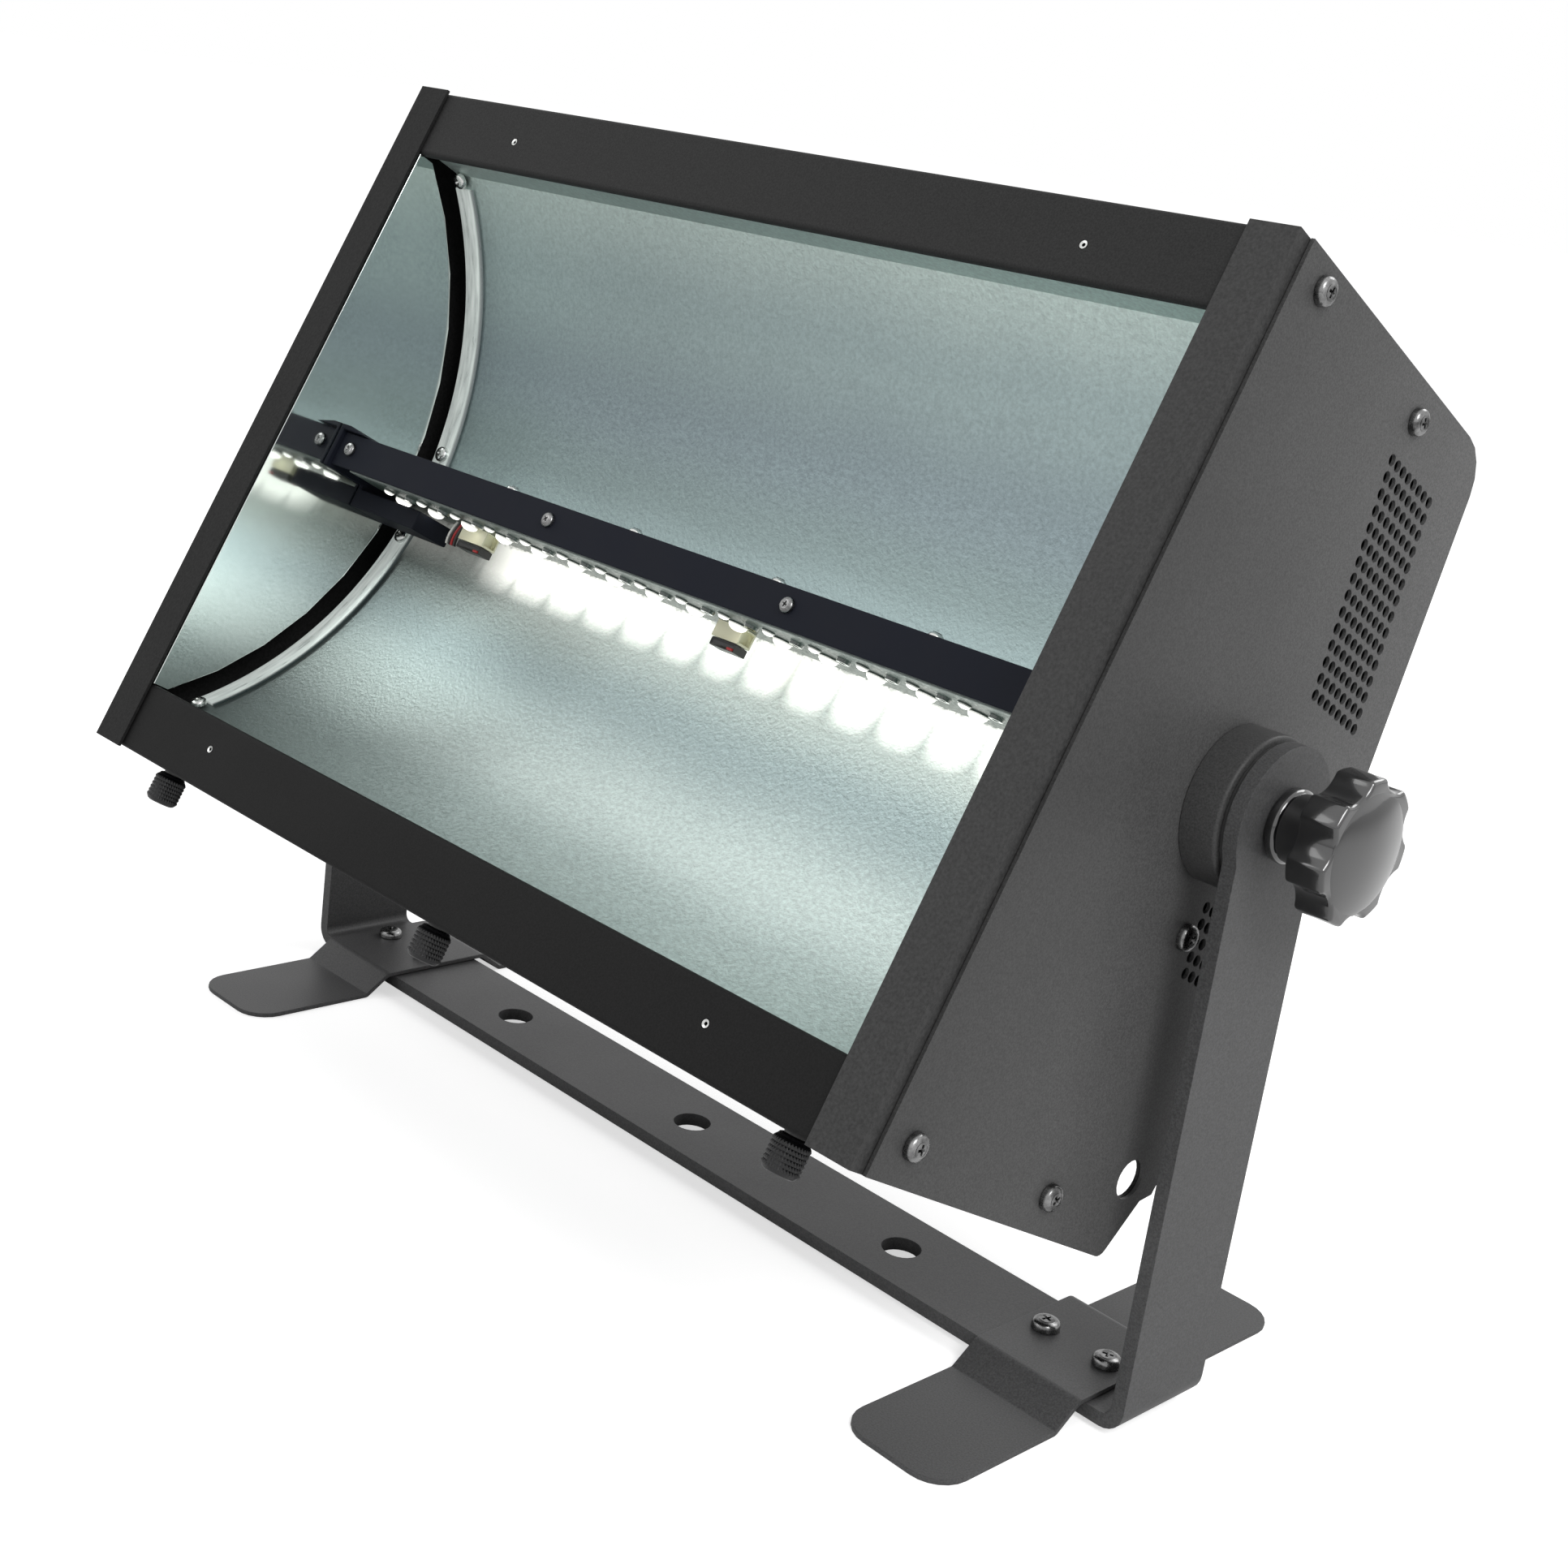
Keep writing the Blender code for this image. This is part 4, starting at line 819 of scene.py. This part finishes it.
# %% ribs and their screws
RIB_FACE, RIB_MIDDLE = -0.0013, 0.1756
rib = rolled("rib", -0.1808, -0.1705, 0.028, 0.1245, change=-0.0003)
shaped(rib, "SOLIDIFY", thickness=0.001, offset=1, use_even_offset=True)
softened(rib, 0.0002, 1)
for name, turns in (("lower_left", ()), ("lower_right", (LEFT_TO_RIGHT,)),
                    ("upper_left", (UPSIDE_DOWN,)), ("upper_right", (LEFT_TO_RIGHT, UPSIDE_DOWN))):
    strip = flipped(rib, "rib_" + name + "_strip", *turns)
    finished(strip, rib_paint, "head", ("rib_" + name,), HEAD)
print("rib", len(rib.data.polygons), "faces")
discard(rib)

spots = []
for side in (-1, 1):
    for height in (0.0265, 0.1195, 0.1555, 0.2485):
        turn = arc_turn(height, RIB_FACE)
        reach = ARC_RADIUS + RIB_FACE
        at = (side * RIB_MIDDLE, ARC_DEPTH + reach * cos(turn), MIDDLE + reach * sin(turn))
        move = HEAD @ shift(at) @ turned(turn + pi / 2, 4, "X")
        spots.append(("rib_screw_%d" % len(spots), RIB_SCREW, move, ()))
screws(spots, screw_bright)

# %% [markdown]
# ## The lamp bar
#
# Under the bar hangs the lamp board, dark with paler tracks. The lenses on it glow in their middle
# and stay dark at their rim: a mask by the distance to the nearest lamp does that for all of them.

# %% finishes of the lamps
LAMP_DEPTH, LENS_DEPTH, RING_DEPTH = 0.0475, 0.0395, 0.0425


def lens_finish():
    """Clear glass with round glows; distances are compared by their squares"""
    finish = Finish("lamp_lens", Coat_Weight=1.0, Coat_Roughness=0.02)
    across, depth, _ = finish.axes(finish.place(HEAD))
    near = from_lamp(finish, across)
    swirl = finish.noise(finish.place(), 0.0008)
    big = near * near + (depth - LAMP_DEPTH) * (depth - LAMP_DEPTH)
    small = near * near + (depth - LENS_DEPTH) * (depth - LENS_DEPTH)
    glow = (finish.spread(big, 0.0000085, 0.0000120, 1, 0)
            + finish.spread(small, 0.0000024, 0.0000044, 1, 0))
    glass = finish.mix(swirl, (0.008, 0.016, 0.012), (0.10, 0.14, 0.12))
    return finish.set(Base_Color=glass, Roughness=finish.spread(swirl, 0.3, 0.7, 0.05, 0.25),
                      Emission_Color=finish.mix(glow, BLACK, (1.0, 1.0, 0.94)),
                      Emission_Strength=3.0)


def board_finish():
    """Dark solder mask, paler and lit towards its front edge"""
    finish = Finish("lamp_board")
    _, depth, _ = finish.axes(finish.place(HEAD))
    here = finish.place()
    fine = finish.noise(here, 0.0012, 3.0, 0.6)
    tracks = finish.spread(finish.cells(here, 0.005), 0.3, 0.34)
    mask = finish.mix(tracks * 0.6, (0.020, 0.034, 0.028), (0.09, 0.12, 0.105))
    front = finish.spread(depth + fine * 0.003, 0.031, 0.036, 1, 0)
    lit = finish.mix(fine, (0.08, 0.10, 0.09), (0.40, 0.44, 0.42))
    return finish.set(Base_Color=finish.mix(front, mask, lit),
                      Roughness=finish.spread(fine, 0.3, 0.7, 0.25, 0.5),
                      Normal=finish.bump(tracks, 0.00004, 0.5))


lens_paint = lens_finish()
board_paint = board_finish()
print("lamp finishes ready")

# %% [markdown]
# Each lamp has a large dome, a second, smaller lens in front of it, and a clear ring between it and
# the next. One set is turned on the lathe and copied sixteen times.

# %% board and lamps
board = brick("lamp_board", (0, 0.04675, 0.13125), (0.344, 0.0335, 0.0015))
pressed(board, lambda at, way: way.z < -0.9, 0.0012, 0, 0, -0.00015)
softened(board, 0.0002, 1)
finished(board, board_paint, "head", ("led_board",), HEAD)


def dome(radius, drop, rim):
    """Profile of a lens that hangs from the board: a straight rim, then a quarter ellipse"""
    profile = [(radius * 1.12, 0.0), (radius * 1.12, -rim)]
    for step in range(7):
        turn = radians(15 * step)
        profile.append((radius * cos(turn), -rim - (drop - rim) * sin(turn)))
    return profile


big = lathe("big_lens", dome(0.0034, 0.0026, 0.0005), 24)
small = lathe("small_lens", dome(0.0021, 0.0016, 0.0004), 20)
small.data.transform(shift((0, LENS_DEPTH - LAMP_DEPTH, 0)))
ring = lathe("ring_post", [(0.0012, 0), (0.0012, -0.0011), (0.0023, -0.0011), (0.0026, 0)], 20)
ring.data.transform(shift((LAMP_PITCH / 2, RING_DEPTH - LAMP_DEPTH, 0)))
lamp = joined("lamp", [big, small, ring])
row = []
for index in range(LAMP_COUNT):
    across = (index - (LAMP_COUNT - 1) / 2) * LAMP_PITCH
    move = shift((across, LAMP_DEPTH, LAMP_LOW - 0.00012))
    row.append(copied(lamp, "lamp_copy", move))
lamps = smooth(joined("lamps", row), 40)
discard(lamp)
finished(lamps, lens_paint, "head", ("led_board",), HEAD)
print("lamps", len(lamps.data.polygons), "faces")

# %% [markdown]
# Two nylon plugs bring the current. Each is a block with a keyed socket in its end: the end face is
# inset and pushed in, a groove is pressed along its face, and the lower half is a dark latch. Four
# short leads bow down from the board beside the left one.

# %% plugs and leads
def block(name, low, high):
    """Brick between two corners"""
    low, high = Vector(low), Vector(high)
    return brick(name, (low + high) / 2, high - low)


def plug(name, left, right):
    """Pale body, dark latch under it and a red tongue on the latch"""
    body = block(name, (left, 0.0523, 0.1246), (right, 0.0593, 0.1308))
    pick(body, "FACE", lambda at, way: abs(way.x) > 0.9)
    ops.mesh.inset(thickness=0.0009)
    ops.mesh.extrude_region_shrink_fatten(TRANSFORM_OT_shrink_fatten={"value": -0.002})
    pressed(body, lambda at, way: way.y < -0.9, 0.0012, 0, 0.0005, 0)
    softened(body)
    finished(body, cream, "head", ("led_board",), HEAD)
    latch = block(name + "_latch", (left + 0.0006, 0.0525, 0.1215), (right - 0.0003, 0.0591, 0.1244))
    pressed(latch, lambda at, way: way.y < -0.9, 0.0008, 0, 0.0006, 0)
    finished(softened(latch), wire_black, "head", ("led_board",), HEAD)
    tongue = block(name + "_tongue", (right - 0.0034, 0.0521, 0.1217), (right - 0.0006, 0.0540, 0.1226))
    finished(softened(tongue), wire_red, "head", (), HEAD)


def lead(name, material, across):
    """Short lead beside the plug: a disc drawn down from the board in bowed steps"""
    piece = start(ops.mesh.primitive_circle_add, name, vertices=14, radius=0.00072, fill_type="NGON",
                  location=(across, 0.0542, 0.1303))
    pick(piece, "FACE", lambda at, way: True)
    for step in (-0.0007, -0.0005, -0.0002, 0.0002, 0.0006):
        drawn(step, 0, -0.0018)
    ops.mesh.select_all(action="SELECT")
    ops.mesh.normals_make_consistent(inside=False)
    object_mode()
    print(name, len(piece.data.polygons), "faces")
    return finished(smooth(piece, 60), material, "head", (), HEAD)


plug("plug_left", -0.1240, -0.1095)
plug("plug_right", 0.0172, 0.0297)
lead("lead_white", wire_white, -0.1301)
lead("lead_black", wire_black, -0.1286)
lead("lead_red", wire_red, -0.1271)
lead("lead_dark", wire_black, -0.1256)
print("plugs and leads fitted")

# %% [markdown]
# Three blackened screws hold the shield, and four bright ones on the rail behind it show just their
# heads over its edge.

# %% screws of the lamp bar
SHIELD_SCREW, RAIL_SCREW, RAIL_RISE = 0.0027, 0.0028, 1.9
spots = []
for index, across in enumerate((-0.1715, -0.0510, 0.0675)):
    move = HEAD @ shift((across, 0.026, 0.1378)) @ turned(pi / 2, 4, "X")
    spots.append(("shield_screw_%d" % index, SHIELD_SCREW, move, ()))
screws(spots, screw_black)
spots = []
for index, across in enumerate((-0.1056, -0.0360, 0.0360, 0.1056)):
    move = HEAD @ shift((across, 0.051, 0.146)) @ Matrix.Scale(RAIL_RISE, 4, (0, 0, 1))
    spots.append(("rail_screw_%d" % index, RAIL_SCREW, move, ()))
screws(spots, screw_bright)

# %% [markdown]
# ## Rivet nuts of the strips
#
# Each front strip has two threaded rivet nuts for an accessory. They are turned on the lathe, and
# their bright bore shows as a small point in a dark hole.

# %% rivet nuts
NUT_ACROSS, NUT_HEIGHT = 0.132, 0.01508
nut = lathe("rivet_nut", [(0.0006, 0.0), (0.0013, 0.0002), (0.0015, -0.0004), (0.0015, -0.0030),
                          (0.0006, -0.0030), (0.0006, 0.0)], 24)
smooth(nut, 35)
corners = [(across, height) for height in (NUT_HEIGHT, 2 * MIDDLE - NUT_HEIGHT)
           for across in (-NUT_ACROSS, NUT_ACROSS)]
for index, (across, height) in enumerate(corners):
    seat = shift((across, 0.0017, height)) @ turned(pi / 2, 4, "X")
    finished(copied(nut, "rivet_nut_%d" % index, seat), screw_bright, "head", (), HEAD)
print("rivet nuts", len(corners))
discard(nut)

# %% [markdown]
# ## Tilt joint
#
# The bosses on the sides are turned, with a small round on the rim.

# %% bosses
def on_axis(side, reach):
    """Turn a lathed piece outward and seat it on the tilt axis, that far from the middle"""
    sign = 1 if side == "right" else -1
    return shift((sign * reach, 0, PIVOT.z)) @ turned(sign * pi / 2, 4, "Y")


boss = lathe("boss", [(0.0053, 0), (0.0241, 0), (0.0241, 0.0112), (0.02395, 0.0117),
                      (0.0236, 0.0121), (0.0231, 0.0123), (0.0053, 0.0123), (0.0053, 0)], 96)
smooth(boss)
for side in ("right", "left"):
    round_boss = copied(boss, "boss_" + side, on_axis(side, SIDE_FACE))
    finished(round_boss, boss_paint, "head", ("tilt_boss_" + side,))
print("boss", len(boss.data.polygons), "faces")
discard(boss)

# %% [markdown]
# The knob is a moulding with seven lobes. A boolean leaves ragged points where a round can't be
# bevelled, so the outline is drawn instead: one vert is spun about four centres, along a lobe, round
# its corner, through the scallop and round the next corner. Seven copies close the star, which is
# drawn up, rounded with insets and domed.

# %% star knobs
KNOB_LOBES, KNOB_TURN, KNOB_SEAT = 7, radians(27.6), 0.2196
KNOB_RADIUS, SCOOP_RADIUS, CORNER_RADIUS, SCOOP_REACH = 0.0218, 0.0088, 0.0016, 0.0275
CORNER_REACH = KNOB_RADIUS - CORNER_RADIUS
STAR_LOW, STAR_HEIGHT = 0.0157, 0.0101
ROUND = ((0.00009, 0.00046), (0.00026, 0.00039), (0.00039, 0.00026), (0.00046, 0.00009))


def corner(opposite, first, second):
    """Angle of a triangle across from its first side"""
    return acos((first ** 2 + second ** 2 - opposite ** 2) / (2 * first * second))


def star_knob():
    """Star, hub with its stud, and domed cap, standing on the Z axis"""
    gap = corner(SCOOP_RADIUS + CORNER_RADIUS, SCOOP_REACH, CORNER_REACH)
    bend = pi - corner(SCOOP_REACH, CORNER_REACH, SCOOP_RADIUS + CORNER_RADIUS)
    pitch = tau / KNOB_LOBES
    lobe = pitch / 2 - gap
    edge = dot("star", (KNOB_RADIUS * cos(lobe), -KNOB_RADIUS * sin(lobe), STAR_LOW))
    for reach, way, turn, steps in ((0, 0, 2 * lobe, 5), (CORNER_REACH, lobe, bend, 5),
                                    (SCOOP_REACH, pitch / 2, 2 * gap - 2 * bend, 12),
                                    (CORNER_REACH, pitch - lobe, bend, 5)):
        ops.mesh.spin(steps=steps, angle=-turn, axis=(0, 0, 1),
                      center=(reach * cos(way), reach * sin(way), STAR_LOW))
    object_mode()
    turns = [turned(KNOB_TURN + index * pitch, 4, "Z") for index in range(KNOB_LOBES)]
    star = joined("star_knob", [copied(edge, "lobe", turn) for turn in turns])
    discard(edge)
    everything(star)
    ops.mesh.remove_doubles(threshold=0.00002)
    ops.mesh.edge_face_add()
    drawn(0, 0, STAR_HEIGHT)
    ops.mesh.select_all(action="SELECT")
    ops.mesh.normals_make_consistent(inside=False)
    for sign in (-1, 1):
        pick(star, "FACE", lambda at, way: way.z * sign > 0.9)
        for inward, rise in ROUND:
            ops.mesh.inset(thickness=inward)
            ops.transform.translate(value=(0, 0, rise * sign))
    object_mode()
    cap = lathe("cap", [(0.0186, 0.02665), (0.0180, 0.02695), (0.0170, 0.0273), (0.0155, 0.0277),
                        (0.0135, 0.0282), (0.0110, 0.0287), (0.0080, 0.0292), (0.0045, 0.0296),
                        (0.0, 0.0298)], 96)
    hub = lathe("hub", [(0, -0.0183), (0.005, -0.0183), (0.005, 0), (0.0106, 0), (0.0112, 0.0006),
                        (0.0114, 0.0026), (0.0111, 0.0034), (0.0104, 0.0038), (0.0104, 0.0140),
                        (0.0110, 0.0148), (0, 0.0148)], 64)
    return smooth(joined("star_knob", [star, hub, cap]), 40)


knob = star_knob()
for side in ("right", "left"):
    star = copied(knob, "star_knob_" + side, on_axis(side, KNOB_SEAT))
    finished(star, knob_black, "tilt_knob_" + side, ("tilt_knob_" + side,))
print("knob", len(knob.data.polygons), "faces")
discard(knob)

# %% [markdown]
# ## Thumb screws
#
# Three knurled screws hang under the lower edge. The body comes off the lathe with its rim cut in
# rows, and poke lifts the middle of every face on the rim: a quick, honest diamond knurl.

# %% thumb screws
rows = [(0.00565, -0.0112 + 0.0014 * row) for row in range(7)]
thumb = lathe("thumb", [(0, -0.0125), (0.0042, -0.0125), (0.0050, -0.0121), *rows, (0.0050, -0.0021),
                        (0.0046, -0.0014), (0.0036, -0.0010), (0.0036, 0.0003), (0, 0.0003)], 36)
pick(thumb, "FACE", lambda at, way: abs(way.z) < 0.3 and at.xy.length > 0.0053)
ops.mesh.poke(offset=0.00032)
pressed(thumb, lambda at, way: way.z < -0.9 and at.xy.length < 0.0042, 0.0008, 0, 0, 0.0006)
object_mode()
shank = lathe("shank", [(0, 0.0098), (0.0021, 0.0098), (0.0025, 0.0094), (0.0025, 0.0004),
                        (0, 0.0004)], 24)
for name, across in (("left", -0.166), ("middle", 0), ("right", 0.166)):
    seat = shift((across, 0.0165, 0))
    body = "thumb_screw_" + name
    finished(copied(thumb, "thumb_head_" + name, seat), thumb_black, body, (body,), HEAD)
    rod = smooth(copied(shank, "thumb_shank_" + name, seat))
    finished(rod, screw_bright, body, (body,), HEAD)
print("thumb screw", len(thumb.data.polygons), "faces")
discard(thumb, shank)

# %% [markdown]
# ## Rear fittings
#
# The panel behind has four sockets, a fuse holder and four buttons. A socket is a flange plate with
# rounded corners, a barrel turned with its bore open, metal contacts in the bore, and two screws on
# the flange.

# %% sockets
FITTING_LINE, FLANGE_SCREW = 0.04917, 0.0021
FUSE_ACROSS, BUTTON_ACROSS, BUTTON_PITCH = 0.090, -0.020, 0.016
OUTWARD = turned(-pi / 2, 4, "X")


def fitting(across):
    return REAR @ shift((across, 0, FITTING_LINE)) @ OUTWARD


def socket(name, across, bore, contacts):
    """Plate, barrel and contacts of one socket; gives the places of its two screws"""
    seat = fitting(across)
    plate = brick(name + "_plate", (0, 0, 0.00125), (0.0260, 0.0306, 0.0019))
    pick(plate, "EDGE", lambda at, way: abs(way.z) > 0.9)
    ops.mesh.bevel(offset=0.0045, segments=6)
    object_mode()
    softened(plate)
    barrel = lathe(name + "_barrel", [(0, -0.0044), (bore, -0.0044), (bore, 0.0049),
                                      (bore + 0.0005, 0.0055), (0.0110, 0.0055), (0.0115, 0.0050),
                                      (0.0115, -0.0150), (0, -0.0150)], 48)
    body = smooth(joined(name + "_body", [plate, barrel]), 40)
    finished(body, socket_black, "head", (name,), seat)
    pin = lathe("pin", [(0, -0.0043), (0.0011, -0.0043), (0.0011, 0.0008), (0.0007, 0.0013),
                        (0, 0.0014)], 16)
    pin.data.transform(shift((0.0048, 0, 0)))
    turns = [turned(index * tau / contacts, 4, "Z") for index in range(contacts)]
    ring = smooth(joined(name + "_contacts", [copied(pin, "pin_copy", turn) for turn in turns]))
    discard(pin)
    finished(ring, screw_bright, "head", (), seat)
    return [(name + "_screw_%d" % index, FLANGE_SCREW,
             seat @ shift((sign * 0.0098, sign * 0.0118, 0.0022)), ())
            for index, sign in enumerate((-1, 1))]


spots = []
for name, across, bore, contacts in (("power_inlet", 0.160, 0.00955, 3),
                                     ("power_outlet", 0.122, 0.00955, 3),
                                     ("data_in", -0.122, 0.00851, 5),
                                     ("data_out", -0.160, 0.00851, 5)):
    spots += socket(name, across, bore, contacts)
screws(spots, screw_black)

# %% [markdown]
# Fuse holder and buttons come off the lathe, the fuse cap with a slot cut across it.

# %% fuse holder and buttons
fuse = lathe("fuse_cap", [(0, -0.0100), (0.0060, -0.0100), (0.0060, 0.0003), (0.0083, 0.0003),
                          (0.0085, 0.0006), (0.0085, 0.0019), (0.0081, 0.0023), (0.0061, 0.0025),
                          (0.0059, 0.0078), (0.0053, 0.0085), (0, 0.0085)], 48)
slot = brick("fuse_slot", (0, 0, 0.0085), (0.02, 0.0014, 0.0026))
shaped(fuse, "BOOLEAN", operation="DIFFERENCE", solver="EXACT", object=slot)
discard(slot)
finished(smooth(fuse, 35), socket_black, "head", ("fuse_holder",),
         fitting(FUSE_ACROSS))

button = lathe("button", [(0, -0.0030), (0.0034, -0.0030), (0.0034, 0.0012), (0.0032, 0.0015),
                          (0.0028, 0.0017), (0.0018, 0.0016), (0, 0.0015)], 32)
smooth(button, 40)
for index, name in enumerate(("menu", "up", "down", "enter")):
    body = "button_" + name
    cap = copied(button, "button_cap_" + name)
    seat = fitting(BUTTON_ACROSS - BUTTON_PITCH * index)
    finished(cap, knob_black, body, (body,), seat)
discard(button)
print("rear fittings in place")

# %% [markdown]
# ## Floor, backdrop and lamps
#
# The product stands on white. The floor and the world show white to the camera and to glossy
# surfaces, while the light that falls on the object stays at a plain level.

# %% floor and world
WHITE = (1.0,) * 3
floor = start(ops.mesh.primitive_plane_add, "floor", size=40)
stage = Finish("stage_white")
lift = stage.node("LightPath", out="Is Camera Ray") * 0.6
glow = stage.node("Emission", None, {"Color": WHITE, "Strength": lift})
matte = stage.node("BsdfDiffuse", None, {"Color": (0.9, 0.9, 0.9)})
stage.feed(stage.tree.nodes["Material Output"].inputs["Surface"],
           stage.node("AddShader", None, {0: matte, 1: glow}))
stage.tree.nodes.remove(stage.shader)
floor.data.materials.append(stage.material)

world = bpy.data.worlds.new("studio")
scene.world = world
world.use_nodes = True
sky = Nodes(world.node_tree)
sky.tree.nodes.remove(sky.tree.nodes["Background"])
direct, through, glossy = (sky.node("LightPath", out="Is %s Ray" % kind)
                           for kind in ("Camera", "Transmission", "Glossy"))
soft, plain = (sky.node("Background", None, {"Color": WHITE, "Strength": strength})
               for strength in (0.55, 1.0))
shown = direct.most(through).most(glossy)
sky.feed(sky.tree.nodes["World Output"].inputs["Surface"],
         sky.node("MixShader", None, {0: shown, 1: soft, 2: plain}))
print("white floor, white world")

# %% [markdown]
# Soft lamps give the light direction: a key from the right, a weak fill and one from behind.

# %% lamps
AIM = Vector((0, 0, 0.2))


def softbox(name, at, size, power):
    lamp = bpy.data.objects.new(name, bpy.data.lights.new(name, "AREA"))
    lamp.data.size, lamp.data.energy = size, power
    scene.collection.objects.link(lamp)
    lamp.location = at
    lamp.rotation_euler = (AIM - Vector(at)).to_track_quat("-Z", "Y").to_euler()
    print(name, "lamp of", power, "W")


softbox("key", (1.6, -0.6, 1.5), 0.9, 18)
softbox("fill", (-1.2, -1.6, 1.4), 1.2, 6)
softbox("rear", (0.4, 1.6, 1.6), 1.0, 10)

# %% [markdown]
# ## Finishes for the nodes that stay
#
# Some solids are already right, and only need their finish.

# %% dress the CAD nodes
for start_of_name, material in (("friction_washer", washer_fibre), ("power_supply", aluminium),
                                ("control_board", green_board), ("fan", fan_black),
                                ("display", display_glass)):
    for name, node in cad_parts.items():
        if name.startswith(start_of_name):
            node.data.materials.clear()
            node.data.materials.append(material)
            print(name, "is", material.name)

# %% put away the model screw head
discard(screw_head)
